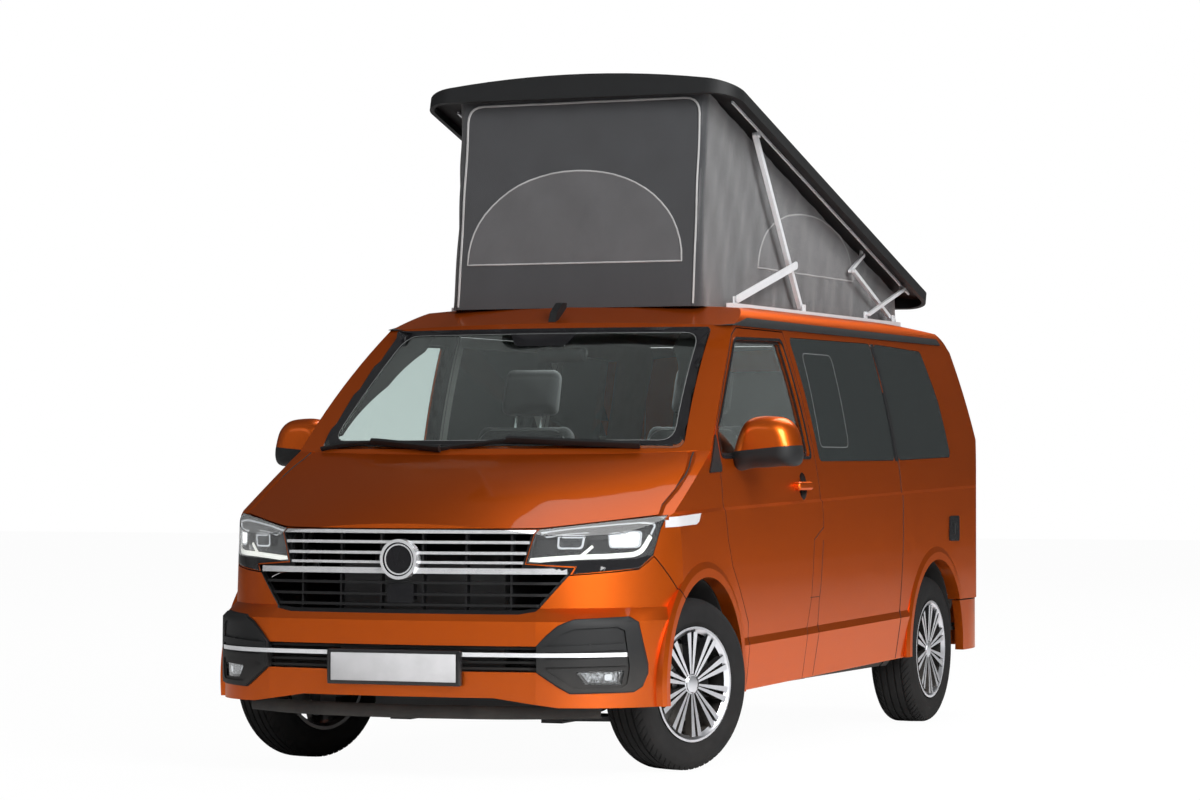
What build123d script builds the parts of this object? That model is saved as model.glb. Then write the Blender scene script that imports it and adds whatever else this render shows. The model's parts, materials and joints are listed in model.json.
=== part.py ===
from build123d import *
from math import atan2, cos, degrees, hypot, radians, sin, sqrt
import os

os.makedirs("parts", exist_ok=True)

# Camper van with a raised front-lifting roof, in millimetres.
# The front faces -Y, the vehicle's left side is +X, and the wheels stand on Z = 0.

# ---- driving sizes ----
half_width = 952.0        # body side, without the mirrors
tail_y = 2452.0           # rearmost point of the rear bumper
wheelbase = 3028.0
front_axle_y = -1571.0
rear_axle_y = front_axle_y + wheelbase
track = 1644.0
wall = 48.0               # door, side wall and tailgate, skin to inner trim
seam = 5.0                # shut line between two panels
glass = 5.0               # pane thickness
play = 0.3                # clearance between a piece and its seat
run = 5.0                 # clearance between pieces that move past each other

tyre_radius = 339.0
tyre_width = 212.0
rim_radius = 226.0
rim_width = 190.0
disc_radius = 155.0
disc_thickness = 24.0
arch_radius = 408.0
arch_height = 350.0       # centre of the wheel arch circle
arch_ys = (front_axle_y - 38, rear_axle_y)
arch_flare = 60.0         # width of the raised lip round the arch
flare_out = 3.0           # how far the lip stands out past half_width
liner = 5.0               # wheel housing sheet

steer = -19.5             # front wheels turned to the vehicle's right
king_low_x, king_low_z = 770.0, 195.0      # lower ball joint
king_top_x, king_top_z = 620.0, 800.0      # strut top mount
roof_pole = (2430.0, 2385.0)               # y and z that the roof shell swings about
roof_lift = 16.0                           # degrees from closed to raised

# ---- body form: where three simple forms cross ----
# Side silhouette on the centre line and at the flank, as (y, z) for each named station.
crown_edge_x = 960.0
crown = {
    "centre": dict(
        tip=(-2500, 925), mid=(-2080, 1108), base=(-1620, 1240), screen=(-1295, 1532),
        top=(-940, 1790), brow=(-640, 1880), roof=(700, 1905), back=(2120, 1866),
        spoiler=(2235, 1790), waist=(2370, 1150), foot=(2395, 650)),
    "edge": dict(
        tip=(-2500, 705), mid=(-1965, 975), base=(-1430, 1255), screen=(-1130, 1525),
        top=(-800, 1765), brow=(-560, 1836), roof=(700, 1848), back=(2060, 1812),
        spoiler=(2165, 1725), waist=(2300, 1150), foot=(2330, 650)),
}
# How each station moves, in y and z, for each millimetre that the form is drawn in.
inward = dict(
    tip=(0, -1), mid=(.4, -.92), base=(.5, -.8), screen=(.65, -.75), top=(.5, -.85),
    brow=(.1, -1), roof=(0, -1), back=(-.4, -.9), spoiler=(-.9, -.4), waist=(-1, 0), foot=(-1, 0))
form_floor = 200.0


def crown_form(inset):
    with BuildPart() as form:
        for x, row in ((-crown_edge_x, "edge"), (0, "centre"), (crown_edge_x, "edge")):
            at = {
                key: (y + inward[key][0] * inset, z + inward[key][1] * inset)
                for key, (y, z) in crown[row].items()
            }
            with BuildSketch(Plane.YZ.offset(x)):
                with BuildLine():
                    ThreePointArc(at["tip"], at["mid"], at["base"])
                    ThreePointArc(at["base"], at["screen"], at["top"])
                    Line(at["top"], at["brow"])
                    ThreePointArc(at["brow"], at["roof"], at["back"])
                    Polyline(at["back"], at["spoiler"], at["waist"], at["foot"])
                    Polyline(
                        at["foot"], (at["foot"][0], form_floor + inset),
                        (at["tip"][0], form_floor + inset), at["tip"])
                make_face()
        loft()
    return form.part


# Cross section at the nose and tail ends: the two pressed lines climb towards the rear.
form_end = 2600.0
# y, sill z, lower line z, foot of the upper line z
section_rows = (
    (-form_end, 268.0, 446.0, 990.0),
    (form_end, 352.0, 534.0, 1100.0),
)
sill_x, belly_x, flank_x, crease_step = 932.0, 950.0, 946.0, 8.0
waist_x, waist_z = 914.0, 1215.0
cant_x, cant_z = 782.0, 1765.0
roof_edge_x, roof_edge_z = 680.0, 1866.0
roof_centre_z = 1905.0


def section_form(inset):
    with BuildPart() as form:
        for y, sill_z, low_z, high_z in section_rows:
            with BuildSketch(Plane.XZ.offset(-y)):
                with BuildLine():
                    belly = (belly_x - inset, low_z)
                    under = (belly_x - crease_step - inset, low_z + 30)
                    foot = (flank_x - crease_step - inset, high_z)
                    ledge = (foot[0] - crease_step, high_z + 12)
                    waist = (waist_x - inset, waist_z)
                    cant = (cant_x - inset, cant_z)
                    edge = (roof_edge_x - inset * .5, roof_edge_z - inset)
                    top = (0, roof_centre_z - inset)
                    floor = (sill_x - 60 - inset, form_floor + inset)
                    Polyline((0, form_floor + inset), floor, (sill_x - inset, sill_z), belly, under)
                    ThreePointArc(under, (flank_x - inset, (low_z + high_z) / 2), foot)
                    Line(foot, ledge)
                    ThreePointArc(ledge, (924 - inset, (ledge[1] + waist_z) / 2), waist)
                    ThreePointArc(waist, (857 - inset, 1500), cant)
                    ThreePointArc(cant, (748 - inset * .8, 1832 - inset * .6), edge)
                    ThreePointArc(edge, (345, 1895 - inset), top)
                    Line(top, (0, form_floor + inset))
                make_face()
                mirror(about=Plane.YZ)
        loft(ruled=True)
    return form.part


# Plan outline of the nose: z, nose y, shoulder x y, corner x y, start of the flank y
plan_rows = (
    (150, -2452, 560, -2400, 860, -2190, -1850),
    (606, -2452, 560, -2400, 860, -2190, -1850),
    (655, -2408, 540, -2350, 850, -2110, -1800),
    (2000, -2385, 534, -2297, 865, -2010, -1690),
)
plan_tail = ((952, 1500), (944, 2100), (860, 2360))


def plan_form(inset):
    with BuildPart() as form:
        for z, front_y, shoulder_x, shoulder_y, corner_x, corner_y, flank_y in plan_rows:
            with BuildSketch(Plane.XY.offset(z)):
                with BuildLine():
                    nose = (0, front_y + inset)
                    shoulder = (shoulder_x - inset * .2, shoulder_y + inset * .95)
                    corner = (corner_x - inset * .7, corner_y + inset * .7)
                    flank = (half_width - inset, flank_y)
                    side = (plan_tail[0][0] - inset, plan_tail[0][1])
                    rear = (plan_tail[1][0] - inset, plan_tail[1][1])
                    tail = (plan_tail[2][0] - inset, plan_tail[2][1] - inset)
                    ThreePointArc((-shoulder[0], shoulder[1]), nose, shoulder)
                    ThreePointArc(shoulder, corner, flank)
                    Line(flank, side)
                    ThreePointArc(side, rear, tail)
                    Line(tail, (-tail[0], tail[1]))
                    ThreePointArc((-tail[0], tail[1]), (-rear[0], rear[1]), (-side[0], side[1]))
                    Line((-side[0], side[1]), (-flank[0], flank[1]))
                    ThreePointArc(
                        (-flank[0], flank[1]), (-corner[0], corner[1]), (-shoulder[0], shoulder[1]))
                make_face()
        loft(ruled=True)
    return form.part


def body_form(inset):
    with BuildPart() as form:
        add(crown_form(inset))
        add(section_form(inset), mode=Mode.INTERSECT)
        add(plan_form(inset), mode=Mode.INTERSECT)
    return form.part


def layer(outer_inset, inner_inset):
    with BuildPart() as skin:
        add(body_form(outer_inset))
        add(body_form(inner_inset), mode=Mode.SUBTRACT)
    return skin.part


# ---- prisms that cut panels out of the form ----
def side_prism(outline, shrink=0.0, corner=0.0, inner_x=560.0, outer_x=1100.0):
    # outline in (y, z); the prism runs out from inner_x to the left
    with BuildPart() as prism:
        with BuildSketch(Plane.YZ.offset(inner_x)) as face:
            with BuildLine():
                Polyline(*outline, close=True)
            make_face()
            if corner:
                fillet(face.vertices(), corner)
            if shrink:
                offset(amount=-shrink, kind=Kind.INTERSECTION)
        extrude(amount=outer_x - inner_x)
    return prism.part


def front_prism(outline, from_y, to_y, shrink=0.0, corner=0.0):
    # outline in (x, z); the prism runs back from from_y to to_y
    with BuildPart() as prism:
        with BuildSketch(Plane.XZ.offset(-from_y)) as face:
            with BuildLine():
                Polyline(*outline, close=True)
            make_face()
            if corner:
                fillet(face.vertices(), corner)
            if shrink:
                offset(amount=-shrink, kind=Kind.INTERSECTION)
        extrude(amount=from_y - to_y)
    return prism.part


def twice(shape):
    # a shape and its mirror image on the other side
    with BuildPart() as pair:
        add(shape)
        mirror(about=Plane.YZ)
    return pair.part


def right_hand(shape):
    return shape.mirror(Plane.YZ)


def save(builder, name):
    builder.part.label = name
    export_step(builder.part, f"parts/{name}.step")


# ---- outlines, (y, z) on the side and (x, z) on the nose and tail ----
sill_line = ((-2700, 262), (2700, 350))
door_outline = (
    (-1112, 200), (-1116, 560), (-1222, 700), (-1300, 790), (-1346, 900), (-1371, 1050),
    (-1371, 1320), (-1150, 1530), (-900, 1735), (-820, 1768), (-240, 1768), (-190, 1215),
    (-165, 1020), (-165, 930), (-290, 880), (-330, 640), (-395, 480), (-430, 200))
door_window = (
    (-1330, 1235), (-1330, 1326), (-1120, 1515), (-875, 1712), (-300, 1722), (-250, 1235))
sliding_outline = ((-180, 200), (-165, 1215), (-222, 1768), (955, 1768), (972, 1085), (930, 574), (870, 200))
front_pane = ((-135, 1212), (-185, 1745), (940, 1752), (925, 1218))
rear_pane = ((975, 1219), (985, 1752), (1690, 1738), (1770, 1500), (1800, 1235))
screen_pane = ((-803, 1262), (-700, 1768), (700, 1768), (803, 1262))
tail_outline = (
    (-770, 1790), (-812, 1500), (-850, 1085), (-850, 560), (850, 560), (850, 1085), (812, 1500), (770, 1790))
tail_pane = ((-655, 1690), (-735, 1200), (735, 1200), (655, 1690))
bonnet_outline = (
    (-2600, 946), (-2291, 953), (-1957, 1002), (-1889, 1040), (-1763, 1100), (-1621, 1172),
    (-1503, 1234), (-1462, 1256), (-1462, 1420), (-2600, 1420))
bumper_outline = (
    (-2600, 150), (-1700, 150), (-1700, 600), (-1870, 697), (-2024, 851), (-2092, 803), (-2300, 781),
    (-2600, 781))
lamp_outline = (
    (536, 953), (500, 824), (676, 812), (662, 783), (856, 803), (890, 851), (905, 949), (918, 1006))
grille_outline = (
    (-533, 951), (-496, 820), (-669, 808), (-655, 781), (-544, 643), (-483, 632), (483, 632), (544, 643),
    (655, 781), (669, 808), (496, 820), (533, 951))
pod_outline = (
    (560, 512), (600, 556), (640, 592), (690, 616), (850, 624), (882, 604), (904, 443), (904, 407),
    (891, 357), (870, 337), (681, 335), (635, 364), (560, 418))
fog_outline = ((699, 419), (847, 421), (840, 367), (727, 370))
intake_z = (416.0, 514.0)
roof_opening = (-560, 560, -585, 1985)     # x and y limits of the hole under the lifting shell
rail_outline = ((-870, 1774), (-640, 1812), (2010, 1806), (2040, 1776))

# ---- forms at the depths that the pieces need ----
pane_out = 1.0
pane_in = pane_out + glass
bed_depth = pane_in + play
trim_out = -5.0           # black corner trim stands proud of the bumper
bar_depth = 15.0
lamp_wall = 7.0
form_at = {
    inset: body_form(inset)
    for inset in (
        trim_out - 8, trim_out, -play, 0, pane_out, pane_in, bed_depth, bar_depth, 34.0, 42.0, wall,
        wall + play, wall + run)
}


def layer(outer_inset, inner_inset):
    with BuildPart() as skin:
        add(form_at[outer_inset])
        add(form_at[inner_inset], mode=Mode.SUBTRACT)
    return skin.part


def circles(radius, from_x, to_x):
    # discs about the arch centres on both sides
    with BuildPart() as discs:
        for arch_y in arch_ys:
            with BuildSketch(Plane.YZ.offset(from_x)):
                with Locations((arch_y, arch_height)):
                    Circle(radius)
            extrude(amount=to_x - from_x)
        mirror(about=Plane.YZ)
    return discs.part


arches = circles(arch_radius, 470, 1100)
with BuildPart() as wall_shell:
    add(layer(0, wall))
    with BuildPart(mode=Mode.PRIVATE) as flare:
        for arch_y in arch_ys:
            with BuildSketch(Plane.YZ.offset(half_width - wall + 1)):
                with Locations((arch_y, arch_height)):
                    Circle(arch_radius + arch_flare)
            extrude(amount=wall - 1 + flare_out)
        chamfer(flare.edges().filter_by(GeomType.CIRCLE).group_by(Axis.X)[-1], 9, 26)
        mirror(about=Plane.YZ)
    add(flare.part)
    add(arches, mode=Mode.SUBTRACT)
    add(side_prism(
        (sill_line[0], sill_line[1], (2700, -200), (-2700, -200)), inner_x=-1100, outer_x=1100),
        mode=Mode.SUBTRACT)

door_cut = side_prism(door_outline)
sliding_cut = side_prism(sliding_outline, corner=14)
tail_cut = front_prism(tail_outline, 2050, 2700, corner=18)


def bonnet_prism(shrink):
    with BuildPart() as prism:
        add(side_prism(bonnet_outline, shrink=shrink, inner_x=-1100, outer_x=1100))
        with BuildSketch(Plane.XY.offset(900)):
            with BuildLine():
                ThreePointArc((-900, -1448 - shrink), (0, -1624 - shrink), (900, -1448 - shrink))
                Polyline((900, -1448 - shrink), (900, -2700), (-900, -2700), (-900, -1448 - shrink))
            make_face()
        extrude(amount=600, mode=Mode.INTERSECT)
    return prism.part


grille_cut = front_prism(grille_outline, -2600, -2150)
lamp_cut = twice(front_prism(lamp_outline, -2600, -1880))
lamp_tail_outline = ((856, 790), (856, 1090), (1000, 1090), (1000, 790))
lamp_tail_y = 2140.0
rear_bumper_top = 560.0
rear_zone = side_prism(
    ((1700, 100), (1700, rear_bumper_top), (2700, rear_bumper_top), (2700, 100)),
    inner_x=-1100, outer_x=1100)
pane_outlines = (front_pane, rear_pane)
pane_rim = 26.0           # how far a bonded pane laps over the wall
with BuildPart() as beds:
    for outline in pane_outlines:
        add(twice(side_prism(outline, corner=34)))
    add(front_prism(screen_pane, -1760, -700, corner=30))
    add(form_at[bed_depth], mode=Mode.SUBTRACT)
with BuildPart() as apertures:
    for outline in pane_outlines:
        add(twice(side_prism(outline, shrink=pane_rim, corner=34)))
    add(front_prism(screen_pane, -1760, -700, shrink=pane_rim, corner=30))

# ---- body shell ----
with BuildPart() as body_shell:
    add(wall_shell.part)
    add(bonnet_prism(0), mode=Mode.SUBTRACT)
    add(side_prism(bumper_outline, inner_x=-1100, outer_x=1100), mode=Mode.SUBTRACT)
    add(grille_cut, mode=Mode.SUBTRACT)
    add(lamp_cut, mode=Mode.SUBTRACT)
    add(twice(door_cut), mode=Mode.SUBTRACT)
    add(right_hand(sliding_cut), mode=Mode.SUBTRACT)
    add(tail_cut, mode=Mode.SUBTRACT)
    add(twice(front_prism(lamp_tail_outline, lamp_tail_y, 2600)), mode=Mode.SUBTRACT)
    add(rear_zone, mode=Mode.SUBTRACT)
    with BuildSketch(Plane.XY.offset(1500)):
        with Locations(((roof_opening[0] + roof_opening[1]) / 2, (roof_opening[2] + roof_opening[3]) / 2)):
            RectangleRounded(
                roof_opening[1] - roof_opening[0], roof_opening[3] - roof_opening[2], 60)
    extrude(amount=600, mode=Mode.SUBTRACT)
    add(beds.part, mode=Mode.SUBTRACT)
    add(apertures.part, mode=Mode.SUBTRACT)
save(body_shell, "body_shell")

# ---- bonded panes of the body: windscreen, left side panes, right rear pane ----
with BuildPart() as fixed_glass:
    add(layer(pane_out, pane_in))
    with BuildPart(mode=Mode.PRIVATE) as zones:
        for outline in pane_outlines:
            add(side_prism(outline, shrink=2, corner=34))
        add(right_hand(side_prism(rear_pane, shrink=2, corner=34)))
        add(front_prism(screen_pane, -1760, -700, shrink=2, corner=30))
    add(zones.part, mode=Mode.INTERSECT)
save(fixed_glass, "fixed_glass")

# ---- bonnet ----
with BuildPart() as bonnet:
    add(layer(0, 34.0))
    add(bonnet_prism(seam), mode=Mode.INTERSECT)
save(bonnet, "bonnet")

# ---- front bumper, its black trim and its lamps ----
bumper_hem = (
    (-1000, 100), (-1000, 277), (-640, 283), (-400, 318), (400, 318), (640, 283), (1000, 277), (1000, 100))
pods = twice(front_prism(pod_outline, -2600, -1950, corner=9))
fogs = twice(front_prism(fog_outline, -2600, -1950, corner=6))
with BuildPart() as intake:
    with BuildSketch(Plane.XZ.offset(2600)):
        with Locations((0, sum(intake_z) / 2)):
            Rectangle(2 * pod_outline[0][0] + 8, intake_z[1] - intake_z[0])
    extrude(amount=-400)
with BuildPart() as front_bumper:
    add(wall_shell.part)
    add(side_prism(bumper_outline, shrink=seam, inner_x=-1100, outer_x=1100), mode=Mode.INTERSECT)
    add(grille_cut, mode=Mode.SUBTRACT)
    add(lamp_cut, mode=Mode.SUBTRACT)
    add(front_prism(bumper_hem, -2600, -1700), mode=Mode.SUBTRACT)
    add(pods, mode=Mode.SUBTRACT)
    add(intake.part, mode=Mode.SUBTRACT)
save(front_bumper, "front_bumper")

slat_rows = (428.0, 452.0, 482.0, 505.0)
with BuildPart() as bumper_trim:
    add(layer(trim_out, 42.0))
    with BuildPart(mode=Mode.PRIVATE) as trim_zone:
        add(twice(front_prism(pod_outline, -2600, -1950, shrink=play, corner=9)))
        for z in slat_rows:
            with BuildSketch(Plane.XZ.offset(2600)):
                with Locations((0, z)):
                    Rectangle(2 * pod_outline[0][0] + 4, 9)
            extrude(amount=-400)
    add(trim_zone.part, mode=Mode.INTERSECT)
    with BuildPart(mode=Mode.PRIVATE) as slat_recess:
        add(layer(trim_out, bar_depth))
        add(intake.part, mode=Mode.INTERSECT)
    add(slat_recess.part, mode=Mode.SUBTRACT)
    with BuildPart(mode=Mode.PRIVATE) as fog_recess:
        add(fogs)
        add(form_at[34.0], mode=Mode.SUBTRACT)
    add(fog_recess.part, mode=Mode.SUBTRACT)
    add(arches, mode=Mode.SUBTRACT)
save(bumper_trim, "bumper_trim")

# ---- grille: black carrier and bright bars ----
# z, height, half length of each bright bar
bright_rows = (
    (943.0, 13.0, 526.0), (903.0, 11.0, 512.0), (862.0, 11.0, 500.0), (826.0, 10.0, 488.0),
    (794.0, 22.0, 645.0))
# z, height, half length of each dark slat
dark_rows = ((748.0, 10.0, 618.0), (704.0, 10.0, 584.0), (664.0, 10.0, 550.0))
rib_pitch, rib_width = 176.0, 8.0
badge_z, badge_radius, badge_y = 837.0, 77.0, -2405.0
bumper_bar = (481.0, 16.0, 857.0)


def bar_zone(rows):
    with BuildPart() as zone:
        for z, height, half_length in rows:
            with BuildSketch(Plane.XZ.offset(2600)):
                with Locations((0, z)):
                    Rectangle(2 * half_length, height)
            extrude(amount=-620)
    return zone.part


with BuildPart() as bright_bars:
    add(layer(pane_out, bar_depth))
    add(bar_zone(bright_rows), mode=Mode.INTERSECT)
    with BuildSketch(Plane.XZ.offset(-badge_y + 18)):
        with Locations((0, badge_z)):
            Circle(badge_radius)
    extrude(amount=-40)
    with BuildSketch(Plane.XZ.offset(-badge_y + 18)):
        with Locations((0, badge_z)):
            Circle(badge_radius - 12)
    extrude(amount=-6, mode=Mode.SUBTRACT)
    with BuildPart(mode=Mode.PRIVATE) as low_bar:
        add(layer(trim_out - 8, trim_out))
        add(bar_zone((bumper_bar,)), mode=Mode.INTERSECT)
    add(low_bar.part)
save(bright_bars, "bright_bars")

with BuildPart() as grille:
    add(layer(bar_depth, 42.0))
    with BuildPart(mode=Mode.PRIVATE) as carrier_zone:
        add(front_prism(grille_outline, -2600, -2150, shrink=play))
        with BuildPart(mode=Mode.PRIVATE) as holes:
            add(front_prism(grille_outline, -2600, -2150, shrink=14))
            with BuildSketch(Plane.XZ.offset(2600)):
                with GridLocations(rib_pitch, 1, 6, 1):
                    with Locations((0, 790)):
                        Rectangle(rib_width, 400)
            extrude(amount=-620, mode=Mode.SUBTRACT)
            add(bar_zone(dark_rows), mode=Mode.SUBTRACT)
        add(holes.part, mode=Mode.SUBTRACT)
    add(carrier_zone.part, mode=Mode.INTERSECT)
    with BuildPart(mode=Mode.PRIVATE) as slats:
        add(layer(bed_depth, 42.0))
        with BuildPart(mode=Mode.PRIVATE) as slat_zone:
            add(bar_zone(dark_rows))
            add(front_prism(grille_outline, -2600, -2150, shrink=play), mode=Mode.INTERSECT)
            with BuildSketch(Plane.XZ.offset(2600)):
                with Locations((0, 714)):
                    Rectangle(104, 62)
            extrude(amount=-620)
        add(slat_zone.part, mode=Mode.INTERSECT)
    add(slats.part)
    with BuildSketch(Plane.XZ.offset(2600)):
        with Locations((0, badge_z)):
            Circle(badge_radius + play)
    extrude(amount=-620, mode=Mode.SUBTRACT)
save(grille, "grille")

# ---- headlamps ----
# centre x, centre z, width, height of the lamp modules
lamp_modules = ((655.0, 908.0, 94.0, 54.0), (820.0, 913.0, 90.0, 64.0))
with BuildPart() as headlamps:
    add(layer(bed_depth, wall))
    add(twice(front_prism(lamp_outline, -2600, -1880, shrink=play)), mode=Mode.INTERSECT)
    with BuildPart(mode=Mode.PRIVATE) as bowls:
        add(twice(front_prism(lamp_outline, -2600, -1880, shrink=lamp_wall)))
        add(form_at[34.0], mode=Mode.SUBTRACT)
    add(bowls.part, mode=Mode.SUBTRACT)
    with BuildPart(mode=Mode.PRIVATE) as modules:
        add(layer(bar_depth, 42.0))
        with BuildPart(mode=Mode.PRIVATE) as module_zone:
            for x, z, width, height in lamp_modules:
                with BuildSketch(Plane.XZ.offset(2600)):
                    with Locations((x, z)):
                        RectangleRounded(width, height, 10)
                extrude(amount=-720)
            mirror(about=Plane.YZ)
        add(module_zone.part, mode=Mode.INTERSECT)
    add(modules.part)
save(headlamps, "headlamps")

with BuildPart() as lamp_lenses:
    add(layer(pane_out, pane_in))
    with BuildPart(mode=Mode.PRIVATE) as lens_zone:
        add(twice(front_prism(lamp_outline, -2600, -1880, shrink=2)))
        add(twice(front_prism(fog_outline, -2600, -1950, shrink=play, corner=6)))
    add(lens_zone.part, mode=Mode.INTERSECT)
save(lamp_lenses, "lamp_lenses")

# ---- side doors ----
door_pane_depth = 15.0
pane_lap = 10.0           # how far the sliding pane runs into the door frame
form_at[door_pane_depth] = body_form(door_pane_depth)
form_at[door_pane_depth + glass] = body_form(door_pane_depth + glass)
form_at[door_pane_depth - play] = body_form(door_pane_depth - play)
form_at[door_pane_depth + glass + play] = body_form(door_pane_depth + glass + play)
handle = (-408.0, 1109.0, 176.0, 36.0)     # y, z, length and height of the door pull
pull_x = (914.0, 952.0)                    # its inner and outer face
grip = (-388.0, 46.0, 54.0, 900.0)         # recess behind it: y, half width, half height, floor x
with BuildPart() as door_pull:
    with BuildSketch(Plane.YZ.offset(pull_x[0])):
        with Locations((handle[0], handle[1])):
            SlotOverall(handle[2], handle[3])
    extrude(amount=pull_x[1] - pull_x[0])
    fillet(door_pull.edges().group_by(Axis.X)[-1], 12)
with BuildPart() as pull_recess:
    with BuildSketch(Plane.YZ.offset(grip[3])):
        with Locations((grip[0], handle[1])):
            Ellipse(grip[1], grip[2])
    extrude(amount=90, taper=-8)
with BuildPart() as front_door:
    add(wall_shell.part)
    add(side_prism(door_outline, shrink=seam), mode=Mode.INTERSECT)
    add(side_prism(door_window, corner=24), mode=Mode.SUBTRACT)
    with BuildPart(mode=Mode.PRIVATE) as pane_slot:
        add(layer(door_pane_depth - play, door_pane_depth + glass + play))
        add(side_prism(door_window, shrink=-pane_lap - play, corner=24), mode=Mode.INTERSECT)
    add(pane_slot.part, mode=Mode.SUBTRACT)
    add(pull_recess.part, mode=Mode.SUBTRACT)
    add(door_pull.part)
with BuildPart() as door_window_pane:
    add(layer(door_pane_depth, door_pane_depth + glass))
    add(side_prism(door_window, shrink=-pane_lap, corner=24), mode=Mode.INTERSECT)

# ---- door mirror: housing seen from the front, and how it fills out behind its nose ----
mirror_front, mirror_back = -1222.0, -1090.0     # y of the nose and of the rim round the glass
mirror_centre = (1030.0, 1285.0)                 # x and z
mirror_outline = (
    (902, 1262), (928, 1336), (958, 1376), (1000, 1390), (1060, 1390), (1112, 1379), (1146, 1346),
    (1165, 1290), (1172, 1240), (1160, 1202), (1110, 1195), (1030, 1190), (950, 1184), (894, 1180),
    (880, 1215))
# distance back, share of the outline
mirror_rows = ((0.0, 0.50), (14.0, 0.78), (46.0, 0.95), (132.0, 1.0))
mirror_recess = 14.0


def mirror_face(y, share):
    middle_x, middle_z = mirror_centre
    with BuildSketch(Plane.XZ.offset(-y)) as face:
        with BuildLine():
            Spline(
                *[
                    (middle_x + (x - middle_x) * share, middle_z + (z - middle_z) * share)
                    for x, z in mirror_outline
                ],
                periodic=True)
        make_face()
    return face.sketch


with BuildPart() as mirror_solid:
    for behind, share in mirror_rows:
        add(mirror_face(mirror_front + behind, share))
    loft()
    add(mirror_face(mirror_back, 0.9))
    extrude(amount=mirror_recess, mode=Mode.SUBTRACT)
    add(form_at[-play], mode=Mode.SUBTRACT)

for hand, flip in (("left", False), ("right", True)):
    for node, piece in (
            ("front_door", front_door), ("door_window", door_window_pane), ("mirror", mirror_solid)):
        with BuildPart() as handed:
            add(right_hand(piece.part) if flip else piece.part)
        save(handed, f"{node}_{hand}")

# ---- sliding door on the right side ----
with BuildPart() as sliding_panel:
    add(wall_shell.part)
    add(side_prism(sliding_outline, shrink=seam, corner=14), mode=Mode.INTERSECT)
    add(beds.part, mode=Mode.SUBTRACT)
    add(apertures.part, mode=Mode.SUBTRACT)
with BuildPart() as sliding_pane:
    add(layer(pane_out, pane_in))
    add(side_prism(front_pane, shrink=2, corner=34), mode=Mode.INTERSECT)
for node, piece in (("sliding_door", sliding_panel), ("sliding_window", sliding_pane)):
    with BuildPart() as handed:
        add(right_hand(piece.part))
    save(handed, node)

# ---- tailgate ----
with BuildPart() as tailgate:
    add(wall_shell.part)
    add(front_prism(tail_outline, 2050, 2700, shrink=seam, corner=18), mode=Mode.INTERSECT)
    add(rear_zone, mode=Mode.SUBTRACT)
    with BuildPart(mode=Mode.PRIVATE) as tail_bed:
        add(front_prism(tail_pane, 2050, 2700, corner=40))
        add(form_at[bed_depth], mode=Mode.SUBTRACT)
    add(tail_bed.part, mode=Mode.SUBTRACT)
    add(front_prism(tail_pane, 2050, 2700, shrink=pane_rim, corner=40), mode=Mode.SUBTRACT)
save(tailgate, "tailgate")
with BuildPart() as tailgate_window:
    add(layer(pane_out, pane_in))
    add(front_prism(tail_pane, 2050, 2700, shrink=2, corner=40), mode=Mode.INTERSECT)
save(tailgate_window, "tailgate_window")

with BuildPart() as tail_lamps:
    add(layer(0, 34.0))
    add(twice(front_prism(lamp_tail_outline, lamp_tail_y, 2600, shrink=play)), mode=Mode.INTERSECT)
save(tail_lamps, "tail_lamps")

# ---- rear bumper ----
bumper_wall = 40.0
bumper_low = 318.0
bumper_corner = ((952, 1950), (913, 2191), (800, 2408), (420, 2441))


def rear_bumper_plan(inset):
    points = [(x - inset, y - inset) for x, y in bumper_corner]
    start = (points[0][0], 1700)
    with BuildSketch(Plane.XY.offset(bumper_low)) as plan:
        with BuildLine():
            Line(start, points[0])
            ThreePointArc(points[0], points[1], points[2])
            ThreePointArc(points[2], points[3], (0, tail_y - inset))
            Line((0, tail_y - inset), (0, 1700))
            Line((0, 1700), start)
        make_face()
        mirror(about=Plane.YZ)
    return plan.sketch


with BuildPart() as rear_bumper:
    add(rear_bumper_plan(0))
    extrude(amount=rear_bumper_top - seam - bumper_low)
    with BuildPart(mode=Mode.PRIVATE) as bumper_core:
        add(rear_bumper_plan(bumper_wall))
        extrude(amount=rear_bumper_top)
    add(bumper_core.part, mode=Mode.SUBTRACT)
    add(arches, mode=Mode.SUBTRACT)
save(rear_bumper, "rear_bumper")

# ---- black roof rails over the side windows ----
form_at[-7.0] = body_form(-7.0)
with BuildPart() as roof_rails:
    add(layer(-7.0, -play))
    add(twice(side_prism(rail_outline)), mode=Mode.INTERSECT)
save(roof_rails, "roof_rails")

# ---- lifting roof, drawn closed and then swung open about its pole ----
pole = Axis((0, roof_pole[0], roof_pole[1]), (1, 0, 0))
shell_front, shell_back, shell_half = -660.0, 2250.0, 722.0
shell_rim_z, shell_crown_z = 1888.0, 1996.0
shell_arc = (800.0, 1922.0)      # x and z of the far ends of the crown's arc
shell_skin, shell_corner = 20.0, 130.0
lug_x, lug_width = 634.0, 8.0
pin_radius, pin_length = 5.0, 9.0
shell_rail_z = 1919.0     # underside of the rails in the closed shell
# inner x, y and z of each lug with the roof closed
shell_lugs = ((634.0, -101.0, 1908.0), (584.0, 1517.0, 1915.0), (634.0, 2003.0, 1910.0))


def raised(y, z):
    # where a point of the closed roof goes when the roof is open
    turn = radians(-roof_lift)
    dy, dz = y - roof_pole[0], z - roof_pole[1]
    return (
        roof_pole[0] + dy * cos(turn) - dz * sin(turn),
        roof_pole[1] + dy * sin(turn) + dz * cos(turn))


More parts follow.
